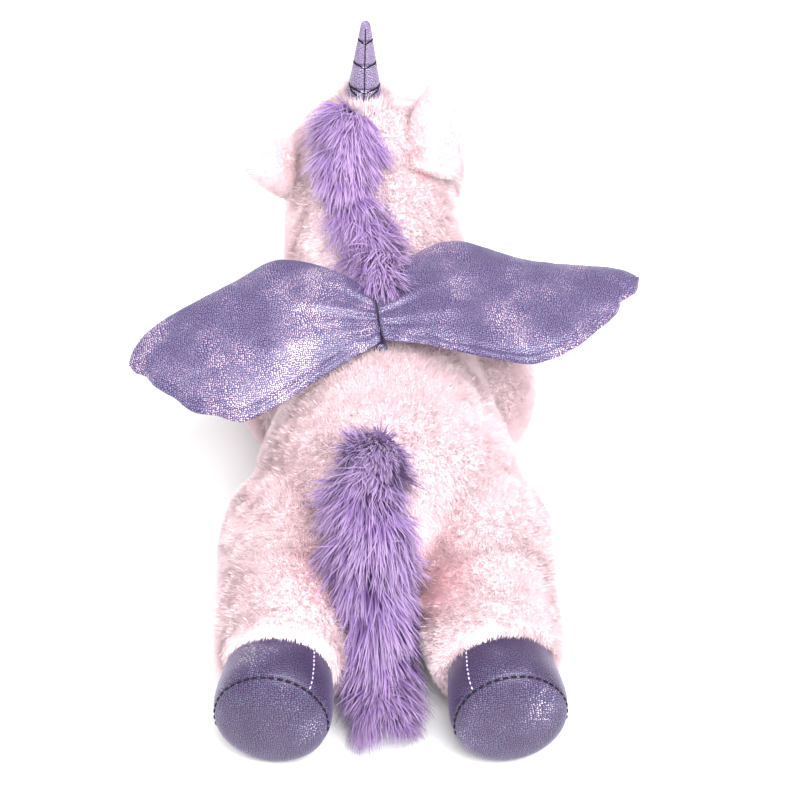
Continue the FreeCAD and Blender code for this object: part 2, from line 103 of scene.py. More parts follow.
def ripple(points, reach, seed, waves=20):
    # smooth noise of size about 1: a sum of plane waves in random directions, a bump per "reach"
    rng = np.random.default_rng(seed)
    ways = rng.normal(size=(waves, points.shape[-1])) * 2.2 / reach
    shifts = rng.uniform(0, 2 * np.pi, waves)
    return np.sin(points @ ways.T + shifts).sum(-1) * math.sqrt(2 / waves)


def rippleWay(points, reach, seed):
    # three ripples as a vector
    return np.stack([ripple(points, reach, seed + step) for step in range(3)], -1)


def blendStep(value, low, high):
    # smooth step: 0 below low, 1 above high, 3p^2 - 2p^3 between
    part = np.clip((value - low) / (high - low), 0, 1)
    return part * part * (3 - 2 * part)


def newObject(name, mesh, material):
    piece = bpy.data.objects.new(name, mesh)
    bpy.context.scene.collection.objects.link(piece)
    if material is not None:
        mesh.materials.append(material)
    return piece


def makeMesh(name, points, faceSets):
    # points in mm; faceSets is a list of index arrays, one row per face
    mesh = bpy.data.meshes.new(name)
    loops = np.concatenate([faces.ravel() for faces in faceSets]).astype(np.int32)
    corners = np.concatenate([np.full(len(faces), faces.shape[1]) for faces in faceSets])
    starts = np.concatenate([[0], np.cumsum(corners)[:-1]]).astype(np.int32)
    mesh.vertices.add(len(points))
    mesh.vertices.foreach_set("co", (points * mm).astype(np.float32).ravel())
    mesh.loops.add(len(loops))
    mesh.loops.foreach_set("vertex_index", loops)
    mesh.polygons.add(len(corners))
    mesh.polygons.foreach_set("loop_start", starts)
    mesh.polygons.foreach_set("use_smooth", np.ones(len(corners), bool))
    mesh.update(calc_edges=True)
    return mesh


def setUv(mesh, perVertex):
    # one UV map from a pair of numbers per vertex
    layer = mesh.uv_layers.new(name="plan")
    loops = np.empty(len(mesh.loops), np.int32)
    mesh.loops.foreach_get("vertex_index", loops)
    layer.data.foreach_set("uv", perVertex[loops].astype(np.float32).ravel())


def ringFaces(rows, around, first=0):
    # quads between neighbouring rings of a closed tube
    row, turn = np.meshgrid(np.arange(rows - 1), np.arange(around), indexing="ij")
    here = first + row * around + turn
    beside = first + row * around + (turn + 1) % around
    return np.stack([here, beside, beside + around, here + around], -1).reshape(-1, 4)


def closedTube(rings):
    # rings is (along, around, 3); each end is closed by a fan to its own middle point
    rows, around = rings.shape[:2]
    points = np.vstack([rings.reshape(-1, 3), rings[0].mean(0), rings[-1].mean(0)])
    turn = np.arange(around)
    after = (turn + 1) % around
    start = np.full(around, rows * around)
    last = (rows - 1) * around
    fans = [np.stack([start, after, turn], -1), np.stack([start + 1, last + turn, last + after], -1)]
    return points, [ringFaces(rows, around), np.vstack(fans)]


def faceOut(points, faceSets):
    # turns the faces over if the closed shape's signed volume is negative
    volume = 0.0
    for faces in faceSets:
        for step in range(1, faces.shape[1] - 1):
            a, b, c = points[faces[:, 0]], points[faces[:, step]], points[faces[:, step + 1]]
            volume += (a * np.cross(b, c)).sum()
    if volume < 0:
        return [faces[:, ::-1].copy() for faces in faceSets]
    return faceSets


def solid(name, rings):
    # a closed tube with its faces turned outward
    points, faceSets = closedTube(rings)
    return makeMesh(name, points, faceOut(points, faceSets))


def weld(name, meshes, voxel, relax, material):
    # joins closed shapes into one skin: voxel remesh, then smoothing
    lists, faces, shift = [], [], 0
    for mesh in meshes:
        own = np.empty(len(mesh.vertices) * 3)
        mesh.vertices.foreach_get("co", own)
        lists.append(own.reshape(-1, 3))
        faces += [[shift + corner for corner in face.vertices] for face in mesh.polygons]
        shift += len(mesh.vertices)
    joined = bpy.data.meshes.new(name)
    joined.from_pydata(np.vstack(lists).tolist(), [], faces)
    piece = newObject(name, joined, material)
    remesh = piece.modifiers.new("remesh", "REMESH")
    remesh.mode = "VOXEL"
    remesh.voxel_size = voxel * mm
    remesh.use_smooth_shade = True
    smooth = piece.modifiers.new("smooth", "SMOOTH")
    smooth.factor = 0.5
    smooth.iterations = relax
    return settle(piece)


def settle(piece):
    # applies the modifiers, so that the piece's own mesh is the finished one
    graph = bpy.context.evaluated_depsgraph_get()
    final = bpy.data.meshes.new_from_object(piece.evaluated_get(graph))
    piece.modifiers.clear()
    old = piece.data
    piece.data = final
    final.name = piece.name
    bpy.data.meshes.remove(old)
    return piece


def readSkin(piece):
    # a skin's points, normals and triangles
    mesh = piece.data
    points = np.empty(len(mesh.vertices) * 3)
    normals = np.empty(len(mesh.vertices) * 3)
    mesh.vertices.foreach_get("co", points)
    mesh.vertices.foreach_get("normal", normals)
    mesh.calc_loop_triangles()
    corners = np.empty(len(mesh.loop_triangles) * 3, np.int32)
    mesh.loop_triangles.foreach_get("vertices", corners)
    return points.reshape(-1, 3) / mm, normals.reshape(-1, 3), corners.reshape(-1, 3)


def scatter(piece, density, seed):
    # random points on a skin, even by area: density is a number per square mm
    points, normals, corners = readSkin(piece)
    a, b, c = (points[corners[:, k]] for k in range(3))
    area = np.linalg.norm(np.cross(b - a, c - a), axis=1) / 2
    rng = np.random.default_rng(seed)
    count = int(area.sum() * density)
    chosen = rng.choice(len(corners), count, p=area / area.sum())
    first, second = rng.random((2, count))
    over = first + second > 1
    first[over], second[over] = 1 - first[over], 1 - second[over]
    weights = np.stack([1 - first - second, first, second], 1)[..., None]
    spots = (points[corners[chosen]] * weights).sum(1)
    return spots, unit((normals[corners[chosen]] * weights).sum(1)), rng


def strands(name, roots, firstWay, lastWay, length, width, outward, steps, shade, material, taper=1.6):
    # each strand is a flat tapering ribbon that bends evenly from firstWay to lastWay
    count = len(roots)
    part = np.linspace(0, 1, steps + 1)
    ways = unit(firstWay[:, None] * (1 - part[None, :, None]) + lastWay[:, None] * part[None, :, None])
    hops = (ways[:, 1:] + ways[:, :-1]) / 2 * (length / steps)[:, None, None]
    line = roots[:, None] + np.concatenate([np.zeros((count, 1, 3)), hops.cumsum(1)], 1)
    side = unit(np.cross(ways, outward[:, None]))
    half = (width / 2)[:, None, None] * (1 - part[None, :, None] ** taper)
    pair = np.stack([line - side * half, line + side * half], 2)[:, :-1]
    points = np.concatenate([pair.reshape(count, -1, 3), line[:, -1:]], 1)
    each = 2 * steps + 1
    base = np.arange(count)[:, None] * each
    row = np.arange(steps - 1) * 2
    quads = np.stack([row, row + 1, row + 3, row + 2], -1)[None] + base[..., None]
    tips = np.array([each - 3, each - 2, each - 1])[None] + base
    mesh = makeMesh(name, points.reshape(-1, 3), [quads.reshape(-1, 4), tips])
    along = np.append(np.repeat(part[:-1], 2), 1.0)
    uv = np.stack([np.repeat(shade, each), np.tile(along, count)], 1)
    setUv(mesh, uv)
    return newObject(name, mesh, material)


paintedShadeSpots = [
    # painted shade: spots of deeper pink in the creases and pinched dimples, on the shaded side of the neck
    # and on the ears: x, y, z, reach, strength
    (-45, 100, 112, 6, 0.75), (14, 84, 132, 4, 1.0), (17, 80, 122, 6, 0.45), (-30, -104, 76, 22, 0.22),
    (24, -108, 74, 16, 0.25), (-26, -128, 52, 18, 0.65), (23, -130, 50, 18, 0.7), (-34, -140, 46, 12, 0.35),
    (34, -140, 46, 12, 0.35), (22, -2, 88, 14, 0.35), (-26, -8, 86, 14, 0.35), (-62, -70, 40, 20, 0.15),
    (60, -64, 44, 18, 0.2), (-9, -84, 92, 9, 0.3), (6, -84, 92, 7, 0.35), (-62, 101, 119, 26, 0.14),
    (24, 96, 146, 26, 0.13), (-44, 62, 84, 24, 0.24), (-40, 108, 128, 18, 0.1),
]


def paintedShadeAt(points):
    # painted shade: sum of round bumps, each falling off as exp(-(distance / reach)^2)
    total = np.zeros(len(points))
    for x, y, z, reach, strength in paintedShadeSpots:
        total += strength * np.exp(-((points - (x, y, z)) ** 2).sum(1) / reach ** 2)
    return np.clip(total, 0, 1)


def pile(name, skin, spec, lay, seed, material, where=None):
    # short fur on a skin: strands lean along "lay" and gather a little into soft tufts
    roots, normals, rng = scatter(skin, spec["density"], seed)
    if where is not None:
        inside = where(roots, normals)
        roots, normals = roots[inside], normals[inside]
    count = len(roots)
    flow = lay(roots, normals)
    flow = flow + rippleWay(roots, spec["swirl"], seed + 5) * spec["swirlAmount"]
    flow = unit(flow - normals * (flow * normals).sum(1, keepdims=True))
    tuft = rippleWay(roots, spec["tuft"], seed + 9) * spec["tuftAmount"]
    lean = np.radians(spec["lean"] + rng.normal(0, 9, count))[:, None]
    firstWay = normals * np.cos(lean) + flow * np.sin(lean) + tuft
    lastWay = firstWay + flow * 0.2 + rng.normal(0, 0.2, (count, 3))
    length = spec["length"] * rng.uniform(0.7, 1.1, count)
    length *= 1 + 0.08 * ripple(roots, spec["tuft"] * 3, seed + 13)
    width = spec["width"] * rng.uniform(0.7, 1.2, count)
    sink = roots - normals * spec["sink"]
    # painted shade: how strongly each root lies in a shade spot; strands that take it get a number above 1,
    # which darkens them towards the shade colour
    paintedShade = paintedShadeAt(roots)
    own = np.where(rng.random(count) < np.clip(paintedShade * 3, 0, 1), 1 + paintedShade, rng.random(count))
    # strands that would reach through the floor are left out
    firstWay, lastWay = unit(firstWay), unit(lastWay)
    tip = sink[:, 2] + length * np.minimum(firstWay[:, 2], lastWay[:, 2])
    kept = tip > 0.2
    return strands(name, sink[kept], firstWay[kept], lastWay[kept], length[kept], width[kept], normals[kept],
                   spec["steps"], own[kept], material)


def newMaterial(name, values):
    # a Principled material; values are set straight on its sockets
    material = bpy.data.materials.new(name)
    material.use_nodes = True
    tree = material.node_tree
    shader = tree.nodes["Principled BSDF"]
    for socket, value in values.items():
        shader.inputs[socket].default_value = value
    return material, tree, shader


def node(tree, kind, links=(), **settings):
    # adds a node; links are (socket to feed, output that feeds it or a plain value)
    made = tree.nodes.new(kind)
    for name, value in settings.items():
        setattr(made, name, value)
    for socket, source in links:
        if isinstance(source, bpy.types.NodeSocket):
            tree.links.new(source, made.inputs[socket])
        else:
            made.inputs[socket].default_value = source
    return made


def ramp(tree, source, stops):
    # a colour ramp; stops are (place, colour)
    made = node(tree, "ShaderNodeValToRGB", [("Fac", source)])
    bar = made.color_ramp
    bar.interpolation = "EASE"
    while len(bar.elements) < len(stops):
        bar.elements.new(0.5)
    for element, (place, colour) in zip(bar.elements, stops):
        element.position = place
        element.color = (*colour, 1)
    return made.outputs["Color"]


def mixColour(tree, factor, first, second):
    # first at factor 0, second at factor 1
    made = node(tree, "ShaderNodeMix", [(0, factor), (6, first), (7, second)], data_type="RGBA",
                blend_type="MIX")
    return made.outputs[2]


# the last colour in each look is painted shade, mixed into strands near the shade spots
pinkLook = {
    "root": (1.0, 0.85, 0.88), "middle": (1.0, 0.865, 0.895), "tip": (1.0, 0.885, 0.91),
    "patch": (1.0, 0.82, 0.86), "patchSize": 60, "patchAmount": 0.35, "paintedShade": (0.93, 0.56, 0.60),
}
# the violet runs very dark at the roots: the yarn's own violet with painted shade deep inside the locks
lilacLook = {
    "root": (0.09, 0.035, 0.17), "middle": (0.26, 0.14, 0.385), "tip": (0.55, 0.38, 0.64),
    "patch": (0.27, 0.13, 0.44), "patchSize": 90, "patchAmount": 0.4, "paintedShade": (0.13, 0.05, 0.25),
}


def strandMaterial(name, look, values):
    # colour runs from root to tip along each strand, shifts from strand to strand and in soft patches
    material, tree, shader = newMaterial(name, values)
    plan = node(tree, "ShaderNodeUVMap", uv_map="plan")
    split = node(tree, "ShaderNodeSeparateXYZ", [("Vector", plan.outputs["UV"])])
    along = ramp(tree, split.outputs["Y"], [(0.0, look["root"]), (0.45, look["middle"]), (1.0, look["tip"])])
    place = node(tree, "ShaderNodeTexCoord")
    cloud = node(tree, "ShaderNodeTexNoise", [("Vector", place.outputs["Object"]),
                                              ("Scale", look["patchSize"]), ("Detail", 2.0)])
    spread = node(tree, "ShaderNodeMapRange", [("Value", cloud.outputs["Fac"]), ("From Min", 0.45),
                                               ("From Max", 0.68), ("To Max", look["patchAmount"])])
    toned = mixColour(tree, spread.outputs["Result"], along, (*look["patch"], 1))
    # the strand's own number: 0 to 1 sets how light it is, 1 to 2 how far it takes the painted shade of a
    # crease
    paintedShade = node(tree, "ShaderNodeMapRange", [("Value", split.outputs["X"]), ("From Min", 1.0),
                                              ("From Max", 2.0)])
    toned = mixColour(tree, paintedShade.outputs["Result"], toned, (*look["paintedShade"], 1))
    light = node(tree, "ShaderNodeMapRange", [("Value", split.outputs["X"]), ("To Min", 0.95),
                                              ("To Max", 1.02)])
    bright = node(tree, "ShaderNodeHueSaturation", [("Value", light.outputs["Result"]), ("Color", toned)])
    tree.links.new(bright.outputs["Color"], shader.inputs["Base Color"])
    return material


def backingMaterial(name, colour, weave, values):
    # the knitted backing under the pile, with a fine mottled tone
    material, tree, shader = newMaterial(name, values)
    place = node(tree, "ShaderNodeTexCoord")
    grain = node(tree, "ShaderNodeTexNoise", [("Vector", place.outputs["Object"]), ("Scale", weave),
                                              ("Detail", 3.0)])
    darker = tuple(part * 0.82 for part in colour)
    tone = ramp(tree, grain.outputs["Fac"], [(0.35, darker), (0.65, colour)])
    tree.links.new(tone, shader.inputs["Base Color"])
    bump = node(tree, "ShaderNodeBump", [("Height", grain.outputs["Fac"]), ("Strength", 0.4),
                                         ("Distance", 0.0006)])
    tree.links.new(bump.outputs["Normal"], shader.inputs["Normal"])
    return material


foilLook = {
    "cloth": (0.045, 0.018, 0.10), "clothLight": (0.085, 0.045, 0.16),
    "dots": [(0.37, (0.24, 0.225, 0.34)), (0.46, (0.29, 0.29, 0.40)), (0.52, (0.32, 0.38, 0.50)),
             (0.57, (0.50, 0.38, 0.48)), (0.62, (0.80, 0.62, 0.68)), (0.70, (1.0, 0.92, 0.90))],
    "dotPitch": 0.84, "dotSize": 0.27, "rowWander": 7.0,
}


def foilMaterial(name, look):
    # printed foil dots in wandering rows on violet knit; the dots' tint drifts in pearly patches
    material, tree, shader = newMaterial(name, {"Roughness": 0.42, "Sheen Weight": 0.25,
                                                "Sheen Roughness": 0.4, "Sheen Tint": (0.75, 0.70, 1.0, 1)})
    plan = node(tree, "ShaderNodeUVMap", uv_map="plan")
    wander = node(tree, "ShaderNodeTexNoise", [("Vector", plan.outputs["UV"]), ("Scale", 0.055),
                                               ("Detail", 1.0)])
    pulled = node(tree, "ShaderNodeVectorMath", [(0, wander.outputs["Color"]),
                                                 (1, (look["rowWander"],) * 3)], operation="MULTIPLY")
    moved = node(tree, "ShaderNodeVectorMath", [(0, plan.outputs["UV"]), (1, pulled.outputs[0])],
                 operation="ADD")
    cells = node(tree, "ShaderNodeTexVoronoi", [("Vector", moved.outputs[0]), ("Scale", 1 / look["dotPitch"]),
                                                ("Randomness", 0.5)], voronoi_dimensions="2D")
    edge = 0.07  # how soft a dot's rim is
    dot = node(tree, "ShaderNodeMapRange", [("Value", cells.outputs["Distance"]),
                                            ("From Min", look["dotSize"] + edge),
                                            ("From Max", look["dotSize"] - edge)])
    place = node(tree, "ShaderNodeTexCoord")
    cloud = node(tree, "ShaderNodeTexNoise", [("Vector", place.outputs["Object"]), ("Scale", 38.0),
                                              ("Detail", 3.0), ("Roughness", 0.6)])
    grains = node(tree, "ShaderNodeSeparateColor", [("Color", cells.outputs["Color"])])
    jitter = node(tree, "ShaderNodeMath", [(0, grains.outputs[0]), (1, 0.22)], operation="MULTIPLY")
    shifted = node(tree, "ShaderNodeMath", [(0, cloud.outputs["Fac"]), (1, jitter.outputs[0])],
                   operation="ADD")
    level = node(tree, "ShaderNodeMath", [(0, shifted.outputs[0]), (1, 0.11)], operation="SUBTRACT")
    tint = ramp(tree, level.outputs[0], look["dots"])
    ground = ramp(tree, cloud.outputs["Fac"], [(0.35, look["cloth"]), (0.7, look["clothLight"])])
    colour = mixColour(tree, dot.outputs["Result"], ground, tint)
    tree.links.new(colour, shader.inputs["Base Color"])
    metal = node(tree, "ShaderNodeMath", [(0, dot.outputs["Result"]), (1, 0.75)], operation="MULTIPLY")
    tree.links.new(metal.outputs[0], shader.inputs["Metallic"])
    bump = node(tree, "ShaderNodeBump", [("Height", dot.outputs["Result"]), ("Strength", 0.5),
                                         ("Distance", 0.00015)])
    tree.links.new(bump.outputs["Normal"], shader.inputs["Normal"])
    return material


def threadMaterial(name, colour):
    # fine twist bands along the thread
    material, tree, shader = newMaterial(name, {"Roughness": 0.6, "Specular IOR Level": 0.25})
    place = node(tree, "ShaderNodeTexCoord")
    twist = node(tree, "ShaderNodeTexWave", [("Vector", place.outputs["Object"]), ("Scale", 900.0),
                                             ("Distortion", 1.5)])
    lighter = tuple(part * 1.9 + 0.003 for part in colour)
    tone = ramp(tree, twist.outputs["Fac"], [(0.2, colour), (0.9, lighter)])
    tree.links.new(tone, shader.inputs["Base Color"])
    return material


softValues = {"Roughness": 0.9, "Sheen Weight": 0.2, "Sheen Roughness": 0.5,
              "Sheen Tint": (1, 0.93, 0.94, 1), "Specular IOR Level": 0.2}
pinkPile = strandMaterial("pink pile", pinkLook, softValues)
longValues = {"Roughness": 0.55, "Sheen Weight": 0.3, "Sheen Tint": (0.9, 0.82, 1, 1),
              "Specular IOR Level": 0.35}
# painted shade: the tail's lilac is a darker copy of the mane's, for the shadow the tail lies in
shadedTailLilac = dict(lilacLook, root=(0.07, 0.028, 0.14), middle=(0.205, 0.11, 0.315), tip=(0.44, 0.31, 0.53))
rootLilac = dict(lilacLook, root=(0.34, 0.22, 0.46), middle=(0.45, 0.30, 0.57), tip=(0.60, 0.43, 0.70),
                 patchAmount=0.1)
lilacPile = strandMaterial("lilac pile", lilacLook, longValues)
shadedTailPile = strandMaterial("tail pile painted shade", shadedTailLilac, longValues)
rootPile = strandMaterial("tail root pile", rootLilac, longValues)
pinkBacking = backingMaterial("pink backing", (1.0, 0.84, 0.88), 900, {"Roughness": 0.9})
lilacBacking = backingMaterial("lilac backing", (0.20, 0.11, 0.40), 900, {"Roughness": 0.9})
foil = foilMaterial("violet foil cloth", foilLook)
hoofFoil = foilMaterial("hoof foil cloth", dict(foilLook, dots=[
    (0.30, (0.11, 0.085, 0.17)), (0.42, (0.155, 0.13, 0.215)), (0.50, (0.21, 0.15, 0.26)),
    (0.57, (0.13, 0.18, 0.25)), (0.65, (0.40, 0.33, 0.46)), (0.76, (0.95, 0.92, 0.95))],
    cloth=(0.018, 0.006, 0.045), clothLight=(0.035, 0.016, 0.08), dotSize=0.26, dotPitch=0.95))
hornFoil = foilMaterial("horn foil cloth", dict(foilLook, dots=[
    (0.30, (0.56, 0.50, 0.66)), (0.45, (0.72, 0.66, 0.76)), (0.55, (0.86, 0.72, 0.80)),
    (0.62, (0.66, 0.70, 0.84)), (0.72, (1.0, 0.93, 0.96))], cloth=(0.09, 0.04, 0.17), dotPitch=0.66))
darkThread = threadMaterial("black thread", (0.004, 0.003, 0.008))
violetThread = threadMaterial("violet thread", (0.05, 0.02, 0.14))
roseThread = threadMaterial("rose thread", (0.45, 0.16, 0.26))
paleThread = threadMaterial("pale thread", (0.42, 0.36, 0.55))
print("materials ready")


view = {"target": (5.8, -19.0, 62.0), "rise": 40, "distance": 1100, "lens": 103.95}


def makeView(spec):
    # the camera stands behind the target, raised by "rise" degrees
    rise = math.radians(spec["rise"])
    back = np.array([0, -math.cos(rise), math.sin(rise)]) * spec["distance"]
    camera = bpy.data.cameras.new("view")
    camera.lens = spec["lens"]
    camera.sensor_width = 36
    camera.clip_start = 0.05
    holder = bpy.data.objects.new("view", camera)
    holder.location = (np.array(spec["target"]) + back) * mm
    holder.rotation_euler = (math.pi / 2 - rise, 0, 0)
    bpy.context.scene.collection.objects.link(holder)
    bpy.context.scene.camera = holder


lights = [
    # where it stands, how wide it is, its watts, and where it points (mm)
    {"name": "overhead", "place": (380, -760, 1250), "width": 1100, "watts": 33, "at": (0, 0, 60)},
    {"name": "behind", "place": (500, -1300, 900), "width": 900, "watts": 1, "at": (0, 0, 60)},
    {"name": "front", "place": (-700, 1100, 900), "width": 1000, "watts": 2, "at": (0, 0, 60)},
]


def makeLights():
    # square lamps turned to face one point, and an even pale sky
    for spec in lights:
        lamp = bpy.data.lights.new(spec["name"], "AREA")
        lamp.size = spec["width"] * mm
        lamp.energy = spec["watts"]
        holder = bpy.data.objects.new(spec["name"], lamp)
        away = np.array(spec["place"], float) - np.array(spec["at"], float)
        holder.location = np.array(spec["place"]) * mm
        flat = math.hypot(away[0], away[1])
        holder.rotation_euler = (math.atan2(flat, away[2]), 0, math.atan2(away[1], away[0]) + math.pi / 2)
        bpy.context.scene.collection.objects.link(holder)
    world = bpy.data.worlds.new("studio")
    world.use_nodes = True
    world.node_tree.nodes["Background"].inputs["Color"].default_value = (1, 0.99, 0.99, 1)
    world.node_tree.nodes["Background"].inputs["Strength"].default_value = 1.12
    bpy.context.scene.world = world
    bpy.context.scene.view_settings.view_transform = "Standard"


def makeFloor():
    # one wide flat square
    reach = 4000
    corners = np.array([(-1, -1, 0), (1, -1, 0), (1, 1, 0), (-1, 1, 0)]) * float(reach)
    material = newMaterial("studio floor", {"Roughness": 0.9, "Base Color": (0.97, 0.97, 0.97, 1)})[0]
    floor = newObject("floor", makeMesh("floor", corners, [np.array([[0, 1, 2, 3]])]), material)


makeView(view)
makeLights()
makeFloor()
print("view, lights and floor ready")


def tubeRings(knots, around, count, upward=(0, 0, 1)):
    # circles across a path; each knot holds the path's point and the circle's radius
    where = np.linspace(0, 1, count)
    middle = throughKnots(knots, where)
    ahead = unit(np.gradient(middle[:, :3], axis=0))
    side = unit(np.cross(ahead, upward))
    up = np.cross(side, ahead)
    angle = np.linspace(0, 2 * np.pi, around, endpoint=False)
    circle = side[:, None] * np.cos(angle)[None, :, None] + up[:, None] * np.sin(angle)[None, :, None]
    return middle[:, None, :3] + circle * middle[:, None, 3:4]


def layBack(points, normals):
    # the nap runs from nose to tail and a little down the sides
    way = np.zeros_like(points)
    way[:, 1] = -1
    way[:, 0] = 0.25 * np.sign(points[:, 0]) * np.abs(normals[:, 0])
    way[:, 2] = -0.35
    return way


def eggRings(middle, half, axes, around=48, count=40):
    # an egg with three half sizes along three given directions
    angle = np.linspace(0, 2 * np.pi, around, endpoint=False)
    tilt = np.linspace(0.02, np.pi - 0.02, count)
    first = np.sin(tilt)[:, None] * np.cos(angle)[None] * half[0]
    second = np.sin(tilt)[:, None] * np.sin(angle)[None] * half[1]
    third = np.cos(tilt)[:, None] * np.ones(around)[None] * half[2]
    return middle + first[..., None] * axes[0] + second[..., None] * axes[1] + third[..., None] * axes[2]


def threadRings(path, radius, around=10, ends=True):
    # a round thread along a path, its ends rounded off
    path = np.asarray(path, float)
    where = np.linspace(0, 1, len(path))
    thick = np.full(len(path), float(radius))
    if ends:
        thick *= np.sqrt(np.clip(1 - np.abs(2 * where - 1) ** 8, 0.02, 1))
    return tubeRings(np.column_stack([path, thick]), around, len(path) * 2, (0.13, 0.31, 0.94))


def joinMeshes(name, ringSets, material):
    # many small closed tubes as one mesh
    points, faces, shift = [], [[], []], 0
    for rings in ringSets:
        own, faceSets = closedTube(rings)
        faceSets = faceOut(own, faceSets)
        for kind in (0, 1):
            faces[kind].append(faceSets[kind] + shift)
        points.append(own)
        shift += len(own)
    mesh = makeMesh(name, np.vstack(points), [np.vstack(faces[0]), np.vstack(faces[1])])
    return newObject(name, mesh, material)


def dashes(path, outward, dash, gap, radius, sink=0.0):
    # running stitches: short arched threads laid end to end along a path
    path = np.asarray(path, float)
    outward = np.asarray(outward, float)
    far = np.concatenate([[0], np.cumsum(np.linalg.norm(np.diff(path, axis=0), axis=1))])
    sets = []
    for start in np.arange(0, far[-1] - dash, dash + gap):
        at = np.linspace(start, start + dash, 9)
        spot = np.stack([np.interp(at, far, path[:, k]) for k in range(3)], 1)
        way = np.stack([np.interp(at, far, outward[:, k]) for k in range(3)], 1)
        arch = np.sin(np.linspace(0, np.pi, 9))[:, None] * radius * 1.1 - sink
        sets.append(threadRings(spot + way * arch, radius, 8))
    return sets


torsoLook = {
    # ring middle (y, z), half width, half height, from the rump to the breast
    "rings": [(-122, 38, 6, 6), (-119, 38, 24, 22), (-107, 39, 42, 38), (-88, 42, 55, 46), (-64, 43, 60, 49),
              (-40, 43, 57, 49), (-16, 44, 50, 48), (8, 45, 46, 47), (32, 43, 43, 42), (50, 40, 34, 33),
              (60, 39, 18, 17), (63, 39, 5, 5)],
    # haunches and shoulders: middle and half sizes, mirrored left and right
    "swells": [((41, -96, 37), (34.5, 46, 34)), ((40, 18, 36), (31, 36, 31))],
    # neck: ring middle (x, y, z) and radius
    "neck": [(0, 8, 50, 38), (-1, 30, 58, 43), (-4, 55, 73, 42.5), (-7.5, 80, 87, 42), (-9, 104, 101, 39.5)],
    "around": 64, "voxel": 3.0, "relax": 6, "floor": 1.2, "floorSoft": 5.0,
}
furLook = {
    "density": 4.4, "length": 4.2, "width": 0.66, "lean": 22, "swirl": 30, "swirlAmount": 0.28,
    "tuft": 4.5, "tuftAmount": 0.04, "sink": 0.3, "steps": 1,
}


def restOnFloor(points, floor, soft):
    # presses a shape flat where it would pass below the floor line, rounding the turn
    height = points[..., 2] - floor
    points[..., 2] = floor + soft * np.logaddexp(0, height / soft)
    return points


def torsoRings(spec):
    # ellipses along the back, each upright
    where = np.linspace(0, 1, 60)
    middle = throughKnots(spec["rings"], where)
    angle = np.linspace(0, 2 * np.pi, spec["around"], endpoint=False)
    x = np.cos(angle) * middle[:, 2:3]
    z = middle[:, 1:2] + np.sin(angle) * middle[:, 3:4]
    y = np.broadcast_to(middle[:, 0:1], x.shape)
    return restOnFloor(np.stack([x, y, z], -1), spec["floor"], spec["floorSoft"])


def makeTorso(spec):
    # back, neck and four swells welded into one skin, then furred in two halves
    parts = [solid("back", torsoRings(spec)),
             solid("neck", tubeRings(spec["neck"], spec["around"], 30))]
    for middle, half in spec["swells"]:
        for sign in (-1, 1):
            rings = eggRings(np.array(middle) * (sign, 1, 1), half, np.eye(3))
            parts.append(solid("swell", restOnFloor(rings, spec["floor"], spec["floorSoft"])))
    skin = weld("torso_skin", parts, spec["voxel"], spec["relax"], pinkBacking)
    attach(skin, "torso")
    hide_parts("torso_left_panel", "torso_right_panel", "belly_panel", "torso_stuffing")
    for half, sign in (("left", -1), ("right", 1)):
        fur = pile("torso_pile_" + half, skin, furLook, layBack, 11 + sign, pinkPile,
                   lambda spots, normals: spots[:, 0] * sign > 0)
        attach(fur, "torso")


makeTorso(torsoLook)
print("torso ready")


hindLook = {
    # distance along the leg from the hip, and radius of the fur sleeve
    "sleeve": [(-33, 4), (-30, 14), (-22, 25), (-8, 32), (8, 33.5), (26, 31.5), (46, 30), (58, 27.8),
               (66, 24.6), (66.8, 8)],
    "hoof": [(56, 16), (62, 21.2), (70, 23.6), (80, 25.2), (88, 25.8), (92.5, 25.3), (94.3, 24.0),
             (95.6, 24.2), (98, 20.5), (99.6, 13), (100, 6), (100, 0.5)],
    "rim": (94.3, 24.5),
}
foreLook = {
    "sleeve": [(-29, 4), (-26, 13), (-18, 22), (-6, 27), (6, 28), (18, 27.5), (30, 26.5), (40, 26),
               (45, 23), (45.5, 8)],
    "hoof": [(36, 17), (41, 22.5), (48, 24.2), (58, 24.6), (66, 24.6), (71, 24.4), (72.8, 23.0),
             (73.9, 23.6), (75.9, 21), (76.9, 14), (77.3, 6), (77.3, 0.5)],
    "rim": (72.8, 23.5),
}
legNames = ["hindleg_left", "hindleg_right", "foreleg_left", "foreleg_right"]


def legFrame(name):
    # start at the hip, along to the sole, and two directions across
    start = pivot(name + "_spread")
    end = boxMiddle(name + "_hoof_sole")
    along = unit(end - start)
    side = unit(np.cross(along, (0, 0, 1)))
    return start, along, side, np.cross(side, along), np.linalg.norm(end - start)


def spunRings(knots, start, along, side, up, around, count):
    # a profile of (distance, radius) carried round an axis
    where = np.linspace(0, 1, count)
    line = throughKnots(knots, where)
    angle = np.linspace(0, 2 * np.pi, around, endpoint=False)
    circle = side * np.cos(angle)[:, None] + up * np.sin(angle)[:, None]
    radius = np.maximum(line[:, 1], 0.3)
    return start + along * line[:, None, 0:1] + circle[None] * radius[:, None, None], line, angle


